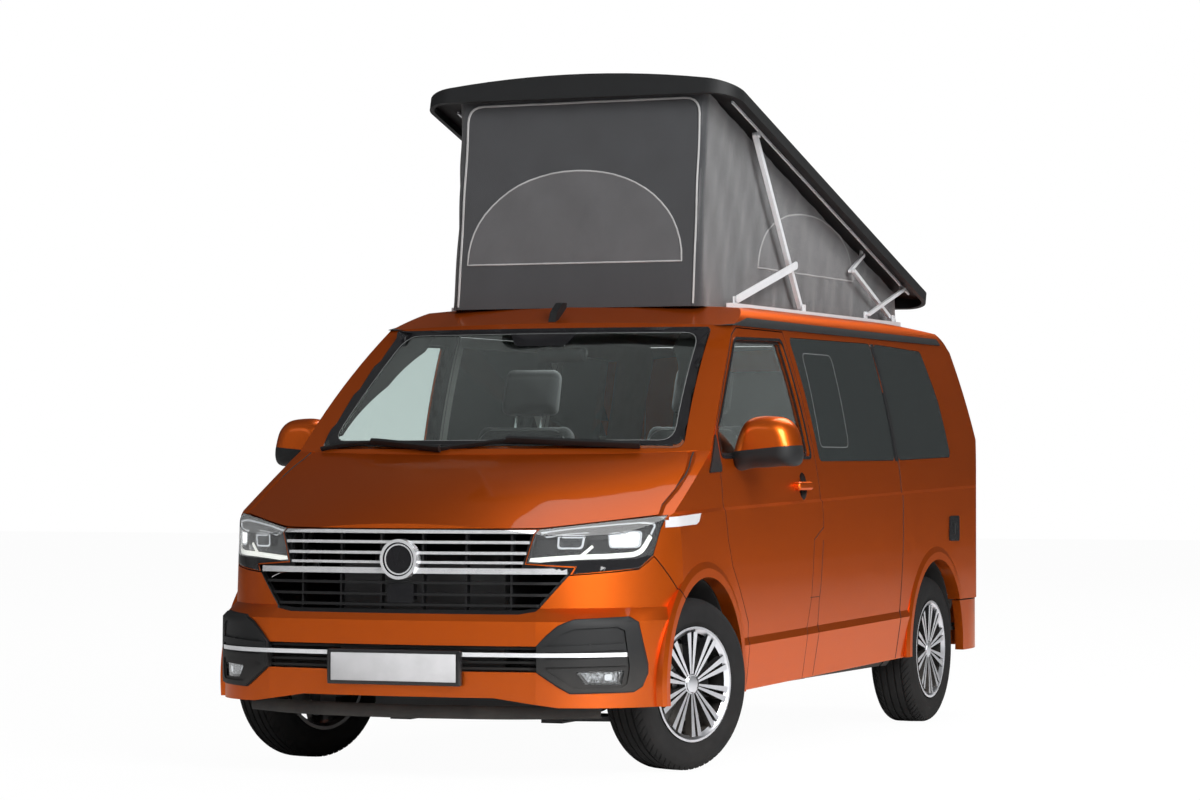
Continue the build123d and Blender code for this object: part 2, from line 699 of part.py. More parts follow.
def shell_form(inset):
    half = shell_half - inset
    with BuildPart() as form:
        with BuildSketch(Plane.XY.offset(shell_rim_z)):
            with Locations((0, (shell_front + shell_back) / 2)):
                RectangleRounded(
                    2 * half, shell_back - shell_front - 2 * inset, shell_corner - inset)
        extrude(amount=200)
        with BuildSketch(Plane.XZ.offset(900)):
            with BuildLine():
                ThreePointArc(
                    (-shell_arc[0], shell_arc[1] - inset), (0, shell_crown_z - inset),
                    (shell_arc[0], shell_arc[1] - inset))
                Polyline(
                    (shell_arc[0], shell_arc[1] - inset), (shell_arc[0], shell_rim_z - 40),
                    (-shell_arc[0], shell_rim_z - 40), (-shell_arc[0], shell_arc[1] - inset))
            make_face()
        extrude(amount=-3400, mode=Mode.INTERSECT)
    return form.part


with BuildPart() as closed_shell:
    add(shell_form(0))
    add(shell_form(shell_skin), mode=Mode.SUBTRACT)
with BuildPart() as pop_top:
    add(closed_shell.part.rotate(pole, -roof_lift))
save(pop_top, "pop_top")

# rails and lugs under the shell, for the heads of the linkage
with BuildPart() as closed_rails:
    with Locations((lug_x + lug_width / 2, 835, (shell_rail_z + shell_crown_z) / 2)):
        Box(lug_width, 2570, shell_crown_z - shell_rail_z)
    for x, y, z in shell_lugs:
        with Locations((x + lug_width / 2, y, (z + shell_crown_z) / 2)):
            Box(lug_width, 28, shell_crown_z - z + 16)
        with BuildSketch(Plane.YZ.offset(x)):
            with Locations((y, z)):
                Circle(pin_radius + .5)
        extrude(amount=lug_width, mode=Mode.SUBTRACT)
    add(shell_form(shell_skin), mode=Mode.INTERSECT)
    mirror(about=Plane.YZ)
with BuildPart() as shell_rails:
    add(closed_rails.part.rotate(pole, -roof_lift))
save(shell_rails, "shell_rails")

# ---- tent between the roof opening and the lifting roof ----
tent_half, tent_skin = 578.0, 8.0
tent_front, tent_back = -692.0, 2120.0
tent_foot_z = 1862.0
ceiling_z = shell_crown_z - shell_skin - 46.0


def tent_solid(inset):
    head_front = raised(-600 + inset, ceiling_z)
    head_back = raised(2140 - inset, ceiling_z)
    with BuildPart() as solid:
        with BuildSketch(Plane.YZ.offset(-tent_half + inset)):
            with BuildLine():
                Polyline(
                    (tent_front + inset, tent_foot_z - 10), head_front, head_back,
                    (head_back[0] + 20, tent_foot_z - 10), close=True)
            make_face()
        extrude(amount=2 * (tent_half - inset))
    return solid.part


with BuildPart() as tent:
    add(tent_solid(0))
    with BuildPart(mode=Mode.PRIVATE) as tent_room:
        add(tent_solid(tent_skin))
        with BuildPart(mode=Mode.PRIVATE) as tent_lift:
            add(tent_solid(tent_skin).moved(Location((0, 0, 60))))
        add(tent_lift.part)
    add(tent_room.part, mode=Mode.SUBTRACT)
    add(form_at[-play], mode=Mode.SUBTRACT)
save(tent, "tent")

# ---- roof linkage ----
# name, foot y z, head y z, inner x, bar width, bar height, way that the foot pin points
links = (
    ("roof_struts", (455.0, 1902.0), (-134.0, 2624.0), 612.0, 18.0, 26.0, 1),
    ("roof_levers", (-433.0, 1902.0), (320.0, 2082.0), 646.0, 6.0, 34.0, -1),
    ("rear_arms", (1766.0, 1902.0), (1220.0, 2100.0), 612.0, 16.0, 18.0, 1),
    ("rear_stays", (1338.0, 1904.0), (1889.0, 2046.0), 646.0, 14.0, 16.0, -1),
    ("rear_links", (1423.0, 2185.0), (1220.0, 2100.0), 594.0, 12.0, 16.0, -1),
)
for name, foot, head, inner_x, width, height, pin_way in links:
    reach = hypot(head[0] - foot[0], head[1] - foot[1])
    tilt = degrees(atan2(head[1] - foot[1], head[0] - foot[0]))
    middle = (reach / 2 * cos(radians(tilt)), reach / 2 * sin(radians(tilt)), 0)
    with BuildPart() as link:
        with BuildSketch(Plane(origin=(inner_x, foot[0], foot[1]), x_dir=(0, 1, 0), z_dir=(1, 0, 0))):
            with Locations(Location(middle, tilt)):
                SlotCenterToCenter(reach, height)
        extrude(amount=width)
        pin_x = inner_x + width if pin_way > 0 else inner_x - pin_length
        with BuildSketch(Plane(origin=(pin_x, foot[0], foot[1]), x_dir=(0, 1, 0), z_dir=(1, 0, 0))):
            Circle(pin_radius)
        extrude(amount=pin_length)
        mirror(about=Plane.YZ)
    save(link, name)

# ---- rails and lugs on the roof that the linkage turns on ----
with BuildPart() as roof_frame:
    with BuildSketch(Plane.XZ.offset(500)):
        with Locations((lug_x + lug_width / 2, 1860)):
            Rectangle(30, 46)
    extrude(amount=-2330)
    for name, foot, *_ in links[:4]:
        with BuildSketch(Plane.YZ.offset(lug_x)):
            with Locations((foot[0], foot[1] - 8)):
                Rectangle(34, 40)
        extrude(amount=lug_width)
        with BuildSketch(Plane.YZ.offset(lug_x)):
            with Locations(foot):
                Circle(pin_radius + .5)
        extrude(amount=lug_width, mode=Mode.SUBTRACT)
    add(form_at[-play], mode=Mode.SUBTRACT)
    mirror(about=Plane.YZ)
save(roof_frame, "roof_frame")

# ---- floor, rails, firewall and wheel housings ----
floor_z, floor_sheet = 410.0, 20.0
rail_x, rail_width = 410.0, 60.0
rail_low, rail_top = 292.0, 412.0
firewall_y = -1330.0
housing_inner_x = 488.0
cabin_half = 896.0
tower_radius, tower_top = 96.0, 850.0
mount_radius, mount_height = 34.0, 32.0    # socket that the strut's ball turns in
strut_ball = 30.0
# low pocket behind each front wheel that its tyre swings into: centre x, y and z, and size
swing_centre, swing_size = (730.0, -1240.0, 430.0), (160.0, 100.0, 164.0)
with BuildPart() as floor_pan:
    with Locations((0, (firewall_y + 2250) / 2, floor_z + floor_sheet / 2)):
        Box(2 * cabin_half, 2250 - firewall_y, floor_sheet)
    with Locations((0, firewall_y, (floor_z + 1140) / 2)):
        Box(2 * cabin_half - 60, 14, 1140 - floor_z)
    for side in (-1, 1):
        with Locations((side * rail_x, 0, (rail_low + rail_top) / 2)):
            Box(rail_width, 4380, rail_top - rail_low)
        with Locations((side * (sill_x - 100), -45, 350)):
            Box(110, 2050, 130)
    for y in (-2180, 0, 900, 2180):
        with Locations((0, y, 360)):
            Box(2 * rail_x, 70, 100)
    add(circles(arch_radius - play, housing_inner_x - liner, cabin_half))
    for side in (-1, 1):
        with BuildSketch(Plane.XY.offset(600)):
            with Locations((side * (king_top_x + 8), front_axle_y)):
                Circle(tower_radius)
        extrude(amount=tower_top + liner - 600)
        with Locations((side * swing_centre[0], swing_centre[1], swing_centre[2])):
            Box(*(length + 2 * liner for length in swing_size))
    add(circles(arch_radius - play - liner, housing_inner_x, cabin_half + 200), mode=Mode.SUBTRACT)
    with BuildPart(mode=Mode.PRIVATE) as under_wells:
        for arch_y in arch_ys:
            with Locations((0, arch_y, 200)):
                Box(2600, 2 * arch_radius, 2 * (rail_low - 200) + 1)
            for side in (-1, 1):
                with Locations((side * (housing_inner_x + 300), arch_y, 280)):
                    Box(620, 2 * arch_radius, 220)
    add(under_wells.part, mode=Mode.SUBTRACT)
    for side in (-1, 1):
        with Locations((side * swing_centre[0], swing_centre[1], swing_centre[2] - 20)):
            Box(swing_size[0], swing_size[1], swing_size[2] + 40, mode=Mode.SUBTRACT)
        with BuildSketch(Plane.XY.offset(400)):
            with Locations((side * (king_top_x + 8), front_axle_y)):
                Circle(tower_radius - liner)
        extrude(amount=tower_top - 400, mode=Mode.SUBTRACT)
        with Locations((side * king_top_x, front_axle_y, tower_top - mount_height / 2 + 1)):
            Cylinder(mount_radius, mount_height + 2)
        with Locations((side * king_top_x, front_axle_y, king_top_z)):
            Sphere(strut_ball + play, mode=Mode.SUBTRACT)
    add(form_at[wall + play], mode=Mode.INTERSECT)
    with BuildPart(mode=Mode.PRIVATE) as door_gap:
        add(twice(side_prism(door_outline, shrink=-run, inner_x=700)))
        add(twice(side_prism(sliding_outline, shrink=-run, inner_x=700)))
        add(form_at[wall + run], mode=Mode.SUBTRACT)
    add(door_gap.part, mode=Mode.SUBTRACT)
    add(rear_bumper.part, mode=Mode.SUBTRACT)
save(floor_pan, "floor_pan")

# ---- cabin: dashboard, steering wheel, seats, bench and kitchen unit ----
dash_half = 860.0
dash_outline = (
    (-1312, 880), (-1500, 1020), (-1560, 1150), (-1490, 1196), (-1230, 1188), (-1120, 1130),
    (-1150, 960), (-1230, 860))
binnacle = (380.0, -1165.0, 1150.0)        # middle of the instrument hood
with BuildPart() as dashboard:
    with BuildSketch(Plane.YZ.offset(-dash_half)) as dash_face:
        with BuildLine():
            Polyline(*dash_outline, close=True)
        make_face()
        fillet(dash_face.vertices().filter_by(lambda v: v.Y > 1100), 24)
    extrude(amount=2 * dash_half)
    with BuildSketch(Plane.YZ.offset(binnacle[0] - 190)):
        with Locations(Location((binnacle[1], binnacle[2], 0), -14)):
            RectangleRounded(170, 110, 40)
    extrude(amount=380)
    for side in (-1, 1):
        with Locations((side * 100, -1190, 800)):
            Box(24, 120, 260)
    with Locations((0, -1180, 900)):
        Box(260, 100, 340)
    add(form_at[wall], mode=Mode.INTERSECT)
    with Locations((0, firewall_y, 900)):
        Box(2000, 14 + 2 * play, 480.6, mode=Mode.SUBTRACT)
save(dashboard, "dashboard")

wheel_centre = (380.0, -985.0, 1090.0)
wheel_ring, wheel_grip, wheel_tilt = 188.0, 15.0, 30.0
wheel_plane = Plane(
    origin=wheel_centre, x_dir=(1, 0, 0), z_dir=(0, cos(radians(wheel_tilt)), sin(radians(wheel_tilt))))
rim_start = Plane(
    origin=wheel_plane.origin + wheel_plane.x_dir * wheel_ring, x_dir=(1, 0, 0), z_dir=wheel_plane.y_dir)
with BuildPart() as steering_wheel:
    with BuildSketch(rim_start):
        Circle(wheel_grip)
    revolve(axis=Axis(wheel_plane.origin, wheel_plane.z_dir))
    with BuildSketch(wheel_plane.offset(-30)):
        RectangleRounded(150, 110, 30)
    extrude(amount=34)
    for turn in (0, 180, 270):
        with BuildSketch(wheel_plane.offset(-16)):
            with Locations(Location((0, 0, 0), turn)):
                with Locations((wheel_ring / 2 + 20, 0)):
                    Rectangle(wheel_ring - 30, 34)
        extrude(amount=12)
    with BuildSketch(wheel_plane.offset(-30)):
        Circle(30)
    extrude(amount=-180)
    add(dashboard.part, mode=Mode.SUBTRACT)
save(steering_wheel, "steering_wheel")

# seat: centre x, front of the cushion y; the two front seats are alike
seat_x, seat_front_y = 400.0, -900.0
cushion = (500.0, 520.0, 130.0)            # width, length, thickness
cushion_z = 700.0                          # underside
backrest = (490.0, 110.0, 640.0)           # width, thickness, height
headrest = (270.0, 90.0, 210.0)
recline = 18.0
with BuildPart() as front_seats:
    with Locations((seat_x, seat_front_y + cushion[1] / 2, cushion_z + cushion[2] / 2)):
        Box(*cushion)
    fillet(front_seats.edges().filter_by(Axis.Z), 60)
    seat_back_y = seat_front_y + cushion[1] - 60
    back_plane = Plane(
        origin=(seat_x, seat_back_y, cushion_z + 60), x_dir=(1, 0, 0),
        z_dir=(0, sin(radians(recline)), cos(radians(recline))))
    with BuildSketch(back_plane):
        RectangleRounded(backrest[0], backrest[1], 40)
    extrude(amount=backrest[2], taper=2)
    for offset_x in (-60, 60):
        with BuildSketch(back_plane.offset(backrest[2] - 10)):
            with Locations((offset_x, 0)):
                Circle(6)
        extrude(amount=80)
    with BuildSketch(back_plane.offset(backrest[2] + 50)):
        RectangleRounded(headrest[0], headrest[1], 38)
    extrude(amount=headrest[2], taper=3)
    mirror(about=Plane.YZ)
save(front_seats, "front_seats")

with BuildPart() as seat_bases:
    with BuildSketch(Plane.XY.offset(floor_z + floor_sheet + play)):
        with Locations((seat_x, seat_front_y + cushion[1] / 2)):
            RectangleRounded(400, 420, 30)
    extrude(amount=cushion_z - floor_z - floor_sheet - 2 * play, taper=3)
    mirror(about=Plane.YZ)
save(seat_bases, "seat_bases")

bench = (-860.0, 400.0, 900.0, 1480.0)     # x from and to, y from and to
bench_seat_z, bench_pad, bench_back_top = 720.0, 120.0, 1330.0
with BuildPart() as rear_bench:
    with BuildSketch(Plane.YZ.offset(bench[0])) as bench_face:
        with BuildLine():
            Polyline(
                (bench[2], floor_z + floor_sheet + play), (bench[2], bench_seat_z + bench_pad),
                (bench[3] - 150, bench_seat_z + bench_pad), (bench[3] - 60, bench_back_top),
                (bench[3] + 40, bench_back_top), (bench[3], floor_z + floor_sheet + play), close=True)
        make_face()
        fillet(bench_face.vertices().filter_by(lambda v: v.Y > 600), 30)
    extrude(amount=bench[1] - bench[0])
    add(circles(arch_radius + 2, housing_inner_x - 12, 1100), mode=Mode.SUBTRACT)
    add(form_at[wall + run], mode=Mode.INTERSECT)
save(rear_bench, "rear_bench")

kitchen = (460.0, 884.0, 60.0, 1060.0)     # x from and to, y from and to
worktop_z, worktop = 1150.0, 24.0
with BuildPart() as kitchen_unit:
    base_z = floor_z + floor_sheet + play
    with Locations(((kitchen[0] + kitchen[1]) / 2, (kitchen[2] + kitchen[3]) / 2, (base_z + worktop_z) / 2)):
        Box(kitchen[1] - kitchen[0], kitchen[3] - kitchen[2], worktop_z - base_z)
    for row in range(3):
        with Locations((kitchen[0], kitchen[2] + 170 + row * 330, worktop_z - 300)):
            Box(8, 300, 420, mode=Mode.SUBTRACT)
    worktop_middle = ((kitchen[0] + kitchen[1]) / 2 - 8, (kitchen[2] + kitchen[3]) / 2, worktop_z + worktop / 2)
    with Locations(worktop_middle):
        Box(kitchen[1] - kitchen[0] + 16, kitchen[3] - kitchen[2] + 20, worktop)
    add(circles(arch_radius + 2, housing_inner_x - 12, 1100), mode=Mode.SUBTRACT)
    add(form_at[wall + play], mode=Mode.INTERSECT)
save(kitchen_unit, "kitchen_unit")

# ---- engine block on the front rails ----
with BuildPart() as engine:
    with Locations((0, -1860, 590)):
        Box(560, 420, 520)
    fillet(engine.edges().filter_by(Axis.Z), 40)
    for side in (-1, 1):
        with Locations((side * 330, -1860, rail_top + play + 30)):
            Box(160, 90, 60)
    with Locations((0, -2180, floor_z + play + 205)):
        Box(700, 46, 410)
save(engine, "engine")

# ---- front suspension ----
subframe_z, subframe_height = 246.0, 70.0
arm_thickness = 20.0
ball_radius = 24.0        # lower ball joint
with BuildPart() as front_axle:
    with Locations((0, front_axle_y, subframe_z)):
        Box(2 * rail_x + rail_width, 260, subframe_height)
    for side in (-1, 1):
        with Locations((side * rail_x, front_axle_y, (subframe_z + rail_low - play) / 2)):
            Box(rail_width, 200, rail_low - play - subframe_z)
    with BuildSketch(Plane.XY.offset(king_low_z - arm_thickness / 2)):
        with BuildLine():
            Polyline(
                (360, front_axle_y - 130), (king_low_x + 12, front_axle_y - 20),
                (king_low_x + 12, front_axle_y + 20), (360, front_axle_y + 130), close=True)
        make_face()
    extrude(amount=arm_thickness)
    with Locations((330, front_axle_y, subframe_z - 40)):
        Box(90, 260, 60)
    with Locations((king_low_x, front_axle_y, king_low_z)):
        Sphere(ball_radius)
    mirror(about=Plane.YZ)
save(front_axle, "front_axle")

hub_offset = 14.0         # wheel centre plane to the disc's inner face
spindle_radius = 34.0
strut_radius, spring_radius = 27.0, 56.0
tread_half = 64.0


def kingpin(side):
    return Axis(
        (side * king_low_x, front_axle_y, king_low_z),
        (side * (king_top_x - king_low_x), 0, king_top_z - king_low_z))


def turned(shape, side):
    return shape.rotate(kingpin(side), steer)


# The steered wheels tip a little about their leaning kingpins, so their hubs sit higher.
def front_hub_height():
    lean = Vector(king_top_x - king_low_x, 0, king_top_z - king_low_z).normalized()
    turn = radians(steer)

    def swung(v):
        return v * cos(turn) + lean.cross(v) * sin(turn) + lean * (lean.dot(v) * (1 - cos(turn)))

    spin_z = swung(Vector(1, 0, 0)).Z
    arm = Vector(track / 2 - king_low_x, 0, tyre_radius - king_low_z)
    return tyre_radius * sqrt(1 - spin_z ** 2) + tread_half * abs(spin_z) + arm.Z - swung(arm).Z


hub_z_front = front_hub_height()
for hand, side in (("left", 1), ("right", -1)):
    disc_inner_x = side * (track / 2 - hub_offset)
    disc_middle_x = disc_inner_x + side * disc_thickness / 2
    with BuildPart() as straight_knuckle:
        with BuildSketch(Plane(
                origin=(disc_inner_x - side * play, front_axle_y, hub_z_front),
                x_dir=(0, 1, 0), z_dir=(-side, 0, 0))):
            Circle(spindle_radius + 14)
        extrude(amount=50)
        for x, y, z, width, depth, height in (
                (king_low_x - 38, 0, hub_z_front - 30, 48, 90, 170),
                (king_low_x - 21, 0, king_low_z + 60, 82, 44, 40),
                (king_low_x - 100, 0, hub_z_front + 76, 90, 60, 84),
                (king_low_x - 60, 60, hub_z_front, 30, 110, 60),
                (king_low_x - 2, 80, hub_z_front, 56, 90, 60)):
            with Locations((side * x, front_axle_y + y, z)):
                Box(width, depth, height)
        with Locations((side * king_low_x, front_axle_y, king_low_z + 32)):
            Cylinder(ball_radius - 2, 28)
        with Locations((side * king_low_x, front_axle_y, king_low_z)):
            Sphere(ball_radius + play, mode=Mode.SUBTRACT)
        strut_foot = (side * 652, front_axle_y, hub_z_front + 60)
        strut_lean = Vector(side * king_top_x - strut_foot[0], 0, king_top_z - strut_foot[2])
        with BuildSketch(Plane(origin=strut_foot, z_dir=strut_lean)):
            Circle(strut_radius)
        extrude(amount=strut_lean.length)
        with BuildSketch(Plane(origin=Vector(*strut_foot) + strut_lean * .6, z_dir=strut_lean)):
            Circle(spring_radius)
        extrude(amount=strut_lean.length * .36)
        with Locations((side * king_top_x, front_axle_y, king_top_z)):
            Sphere(strut_ball)
        with Locations((side * (track / 2 - 12), front_axle_y + disc_radius - 26, hub_z_front)):
            Box(64, 92, 150)
        with BuildSketch(Plane.YZ.offset(disc_middle_x - disc_thickness / 2 - 4)):
            with Locations((front_axle_y, hub_z_front)):
                Circle(disc_radius + 5)
        extrude(amount=disc_thickness + 8, mode=Mode.SUBTRACT)
    with BuildPart() as knuckle:
        add(turned(straight_knuckle.part, side))
    save(knuckle, f"knuckle_{hand}")

# ---- rear suspension ----
with BuildPart() as rear_axle:
    with Locations((0, rear_axle_y - 260, 300)):
        Box(1180, 80, 70)
    for side in (-1, 1):
        with BuildSketch(Plane.XY.offset(286)):
            with BuildLine():
                Polyline(
                    (side * 470, rear_axle_y - 290), (side * 590, rear_axle_y - 290),
                    (side * 705, rear_axle_y + 40), (side * 600, rear_axle_y + 40), close=True)
            make_face()
        extrude(amount=60)
        with BuildSketch(Plane(
                origin=(side * (track / 2 - hub_offset - play), rear_axle_y, tyre_radius),
                x_dir=(0, 1, 0), z_dir=(-side, 0, 0))):
            Circle(spindle_radius + 16)
        extrude(amount=110)
        for radius, from_z, to_z in ((44, 330, 640), (16, 640, 752)):
            with Locations((side * 572, rear_axle_y - 40, (from_z + to_z) / 2)):
                Cylinder(radius, to_z - from_z)
    add(floor_pan.part, mode=Mode.SUBTRACT)
save(rear_axle, "rear_axle")

# ---- wheels: drawn about the origin with the axle along X and the outer face at +X ----
spokes_round = 10
# radius of each end of a spoke, with the half widths of its groove and of the whole spoke there
spoke_root, spoke_tip = (34.0, 1.2, 8.5), (rim_radius - 20, 8.0, 31.0)
hub_face_x, spoke_face_x = 84.0, 86.0
with BuildPart() as rim:
    half = rim_width / 2
    with BuildSketch(Plane.XY):
        with BuildLine():
            Polyline(
                (-half, rim_radius), (-half, rim_radius - 14), (-half + 20, rim_radius - 26),
                (half - 14, rim_radius - 26), (half - 3, rim_radius - 12), (half, rim_radius - 9),
                (half, rim_radius),
                (half - 12, rim_radius), (half - 22, rim_radius - 15), (-half + 22, rim_radius - 15),
                (-half + 12, rim_radius), close=True)
        make_face()
    revolve(axis=Axis.X)
    with BuildSketch(Plane.XY):
        with BuildLine():
            Polyline(
                (-hub_offset, 0), (-hub_offset, disc_radius), (disc_thickness - hub_offset, disc_radius),
                (disc_thickness - hub_offset, 78), (hub_face_x - 38, 76), (hub_face_x - 38, 46),
                (hub_face_x - 3, 41), (hub_face_x, 37), (hub_face_x, 0), close=True)
        make_face()
    revolve(axis=Axis.X)
    with BuildPart(mode=Mode.PRIVATE) as dish:
        with BuildSketch(Plane.XY):
            with BuildLine():
                Polyline(
                    (hub_face_x - 32, 40), (hub_face_x, 40), (spoke_face_x + 10, rim_radius - 20),
                    (spoke_face_x - 22, rim_radius - 20), close=True)
            make_face()
        revolve(axis=Axis.X)
        with BuildPart(mode=Mode.PRIVATE) as spokes:
            with BuildSketch(Plane.YZ):
                with PolarLocations(0, spokes_round, start_angle=90):
                    for way in (-1, 1):
                        Polygon(
                            (spoke_root[0], way * spoke_root[1]), (spoke_tip[0], way * spoke_tip[1]),
                            (spoke_tip[0], way * spoke_tip[2]), (spoke_root[0], way * spoke_root[2]),
                            align=None)
            extrude(amount=120)
        add(spokes.part, mode=Mode.INTERSECT)
    add(dish.part)
# half section of the tyre from the tread's edge down to the bulge: offset and radius
tyre_side = ((tread_half, tyre_radius), (82, 327), (tyre_width / 2 - 6, 300), (tyre_width / 2, 270))
with BuildPart() as tyre:
    with BuildSketch(Plane.XY):
        with BuildLine():
            Polyline(
                (-rim_width / 2, rim_radius + play), *[(-x, radius) for x, radius in reversed(tyre_side)],
                *tyre_side, (rim_width / 2, rim_radius + play), close=True)
        make_face()
    revolve(axis=Axis.X)

for end, axle_y, hub_z in (("front", front_axle_y, hub_z_front), ("rear", rear_axle_y, tyre_radius)):
    for hand, side in (("left", 1), ("right", -1)):
        place = Location((side * track / 2, axle_y, hub_z), (0, 0, 0 if side > 0 else 180))
        for node, piece in (("rim", rim), ("tyre", tyre)):
            moved = piece.part.moved(place)
            with BuildPart() as wheel_piece:
                add(turned(moved, side) if end == "front" else moved)
            save(wheel_piece, f"{node}_{end}_{hand}")

# ---- antenna ----
with BuildPart() as antenna:
    with BuildSketch(Plane.YZ.offset(-16)):
        with BuildLine():
            Polyline((-930, 1780), (-800, 1858), (-796, 1880), (-840, 1880), (-900, 1840), close=True)
        make_face()
    extrude(amount=32)
    add(form_at[-play], mode=Mode.SUBTRACT)
save(antenna, "antenna")
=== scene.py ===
import json
import math

import bmesh
import bpy
from mathutils import Matrix, Vector
from mathutils.bvhtree import BVHTree


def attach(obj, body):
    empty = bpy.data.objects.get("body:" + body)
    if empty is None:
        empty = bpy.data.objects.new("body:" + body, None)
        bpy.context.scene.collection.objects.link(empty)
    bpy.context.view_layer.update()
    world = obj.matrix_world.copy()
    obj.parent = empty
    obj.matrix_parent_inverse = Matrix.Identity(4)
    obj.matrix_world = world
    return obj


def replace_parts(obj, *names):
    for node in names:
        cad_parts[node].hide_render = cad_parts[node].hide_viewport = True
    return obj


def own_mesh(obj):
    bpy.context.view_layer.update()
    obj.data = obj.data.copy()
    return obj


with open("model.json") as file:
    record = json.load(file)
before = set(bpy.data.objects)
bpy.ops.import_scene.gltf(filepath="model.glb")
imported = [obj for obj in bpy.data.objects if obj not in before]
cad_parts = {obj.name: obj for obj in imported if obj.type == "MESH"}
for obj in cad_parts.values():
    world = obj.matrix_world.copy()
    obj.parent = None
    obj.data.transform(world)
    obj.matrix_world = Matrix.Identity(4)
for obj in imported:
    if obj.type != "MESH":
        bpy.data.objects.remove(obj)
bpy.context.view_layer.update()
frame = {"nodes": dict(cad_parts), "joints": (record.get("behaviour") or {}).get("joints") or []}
nodes = frame["nodes"]
print("frame loaded")


def feed(tree, value, socket):
    # a number or a colour is set on the socket, and an output is linked to it
    if isinstance(value, (int, float, tuple)):
        socket.default_value = value
    else:
        tree.links.new(value, socket)


def addNode(tree, kind, inputs, **settings):
    made = tree.nodes.new("ShaderNode" + kind)
    for label, value in settings.items():
        setattr(made, label, value)
    for label, value in inputs.items():
        feed(tree, value, made.inputs[label])
    return made.outputs


def mathNode(tree, operation, *values):
    return addNode(tree, "Math", dict(enumerate(values)), operation=operation)[0]


def mixColour(tree, factor, first, second):
    # sockets 6 and 7 and output 2 are the colour ones
    return addNode(tree, "Mix", {0: factor, 6: first, 7: second}, data_type="RGBA")[2]


def objectCoords(tree):
    return addNode(tree, "TexCoord", {})["Object"]


def noiseNode(tree, scale, detail=2.0, roughness=0.5):
    inputs = {"Vector": objectCoords(tree), "Scale": scale, "Detail": detail, "Roughness": roughness}
    return addNode(tree, "TexNoise", inputs)["Fac"]


def cellsNode(tree, scale):
    return addNode(tree, "TexVoronoi", {"Vector": objectCoords(tree), "Scale": scale})["Distance"]


def newGroup(name, inputs, output):
    group = bpy.data.node_groups.new(name, "ShaderNodeTree")
    for label, value in inputs.items():
        group.interface.new_socket(label, in_out="INPUT", socket_type="NodeSocketFloat").default_value = value
    group.interface.new_socket(output, in_out="OUTPUT", socket_type="NodeSocketFloat")
    return group, group.nodes.new("NodeGroupInput"), group.nodes.new("NodeGroupOutput")


def makeDustAndLowShade():
    # a 0-1 mask, strongest low on the vehicle: dust on plastic and rubber, painted shade on the body paint
    group, start, end = newGroup("roadDustAndLowShade", {"Amount": 0.2, "Top": 0.6}, "Mask")
    height = addNode(group, "SeparateXYZ", {0: objectCoords(group)})[2]
    low = mathNode(group, "SUBTRACT", 1.0, mathNode(group, "DIVIDE", height, start.outputs["Top"]))
    low = mathNode(group, "MULTIPLY", mathNode(group, "MAXIMUM", low, 0.0), noiseNode(group, 9.0, 4.0, 0.6))
    group.links.new(mathNode(group, "MULTIPLY", low, start.outputs["Amount"]), end.inputs["Mask"])
    return group


def makeGrain():
    # fine moulded grain as a height between 0 and 1
    group, start, end = newGroup("mouldGrain", {"Scale": 900.0}, "Height")
    group.links.new(cellsNode(group, start.outputs["Scale"]), end.inputs["Height"])
    return group


def makeWeave():
    # plain weave: crossing waves on the object's own axes
    group, start, end = newGroup("plainWeave", {"Threads": 900.0}, "Height")
    split = addNode(group, "SeparateXYZ", {0: objectCoords(group)})
    waves = [
        mathNode(group, "SINE", mathNode(group, "MULTIPLY", value, start.outputs["Threads"]))
        for value in (mathNode(group, "ADD", split[0], split[1]), split[2])]
    crossed = mathNode(group, "MULTIPLY", mathNode(group, "MULTIPLY", *waves), 0.5)
    group.links.new(mathNode(group, "ADD", crossed, 0.5), end.inputs["Height"])
    return group


groups = {"dustAndLowShade": makeDustAndLowShade(), "grain": makeGrain(), "weave": makeWeave()}


def place(tree, group, **values):
    return addNode(tree, "Group", values, node_tree=groups[group])[0]


def material(name, colour, roughness, metallic=0.0, **sockets):
    # a socket's name is given with _ for each space
    made = bpy.data.materials.new(name)
    made.use_nodes = True
    shader = made.node_tree.nodes["Principled BSDF"]
    sockets.update(Base_Color=(*colour, 1), Roughness=roughness, Metallic=metallic)
    for label, value in sockets.items():
        shader.inputs[label.replace("_", " ")].default_value = value
    return made, made.node_tree, shader


def bump(tree, shader, height, strength, distance):
    inputs = {"Height": height, "Strength": strength, "Distance": distance}
    feed(tree, addNode(tree, "Bump", inputs)[0], shader.inputs["Normal"])


def varied(tree, shader, colour, spread, scale, detail=3.0):
    # colour that wanders a little over the surface
    darker, lighter = ((*(min(1, c * share) for c in colour), 1) for share in (1 - spread, 1 + spread))
    mixed = mixColour(tree, noiseNode(tree, scale, detail), darker, lighter)
    feed(tree, mixed, shader.inputs["Base Color"])
    return mixed


def lowDustAndShade(tree, shader, base, amount, top, colour):
    # a colour up to a height over the base colour: dust on plastic and rubber, painted shade low on the body
    # paint
    base = mixColour(tree, place(tree, "dustAndLowShade", Amount=amount, Top=top), base, (*colour, 1))
    feed(tree, base, shader.inputs["Base Color"])


def makePaint(name, colour, flake, lowShade):
    made, tree, shader = material(
        name, colour, 0.36, 0.88, Coat_Weight=0.28, Coat_Roughness=0.03, Coat_IOR=1.4,
        Specular_Tint=(1.0, 0.52, 0.26, 1))
    spark = mathNode(tree, "MULTIPLY", mathNode(tree, "LESS_THAN", cellsNode(tree, 900.0), 0.25), 0.22)
    # painted shade: the body paint darker and browner low on the body
    lowDustAndShade(tree, shader, mixColour(tree, spark, (*colour, 1), (*flake, 1)), 0.22, 0.45, lowShade)
    return made


def makePlastic(name, colour, roughness, grainScale, strength):
    made, tree, shader = material(name, colour, roughness, IOR=1.5, Specular_IOR_Level=0.3)
    lowDustAndShade(tree, shader, varied(tree, shader, colour, 0.18, 14.0), 0.5, 0.5, (0.16, 0.14, 0.12))
    bump(tree, shader, place(tree, "grain", Scale=grainScale), strength, 0.0004)
    return made


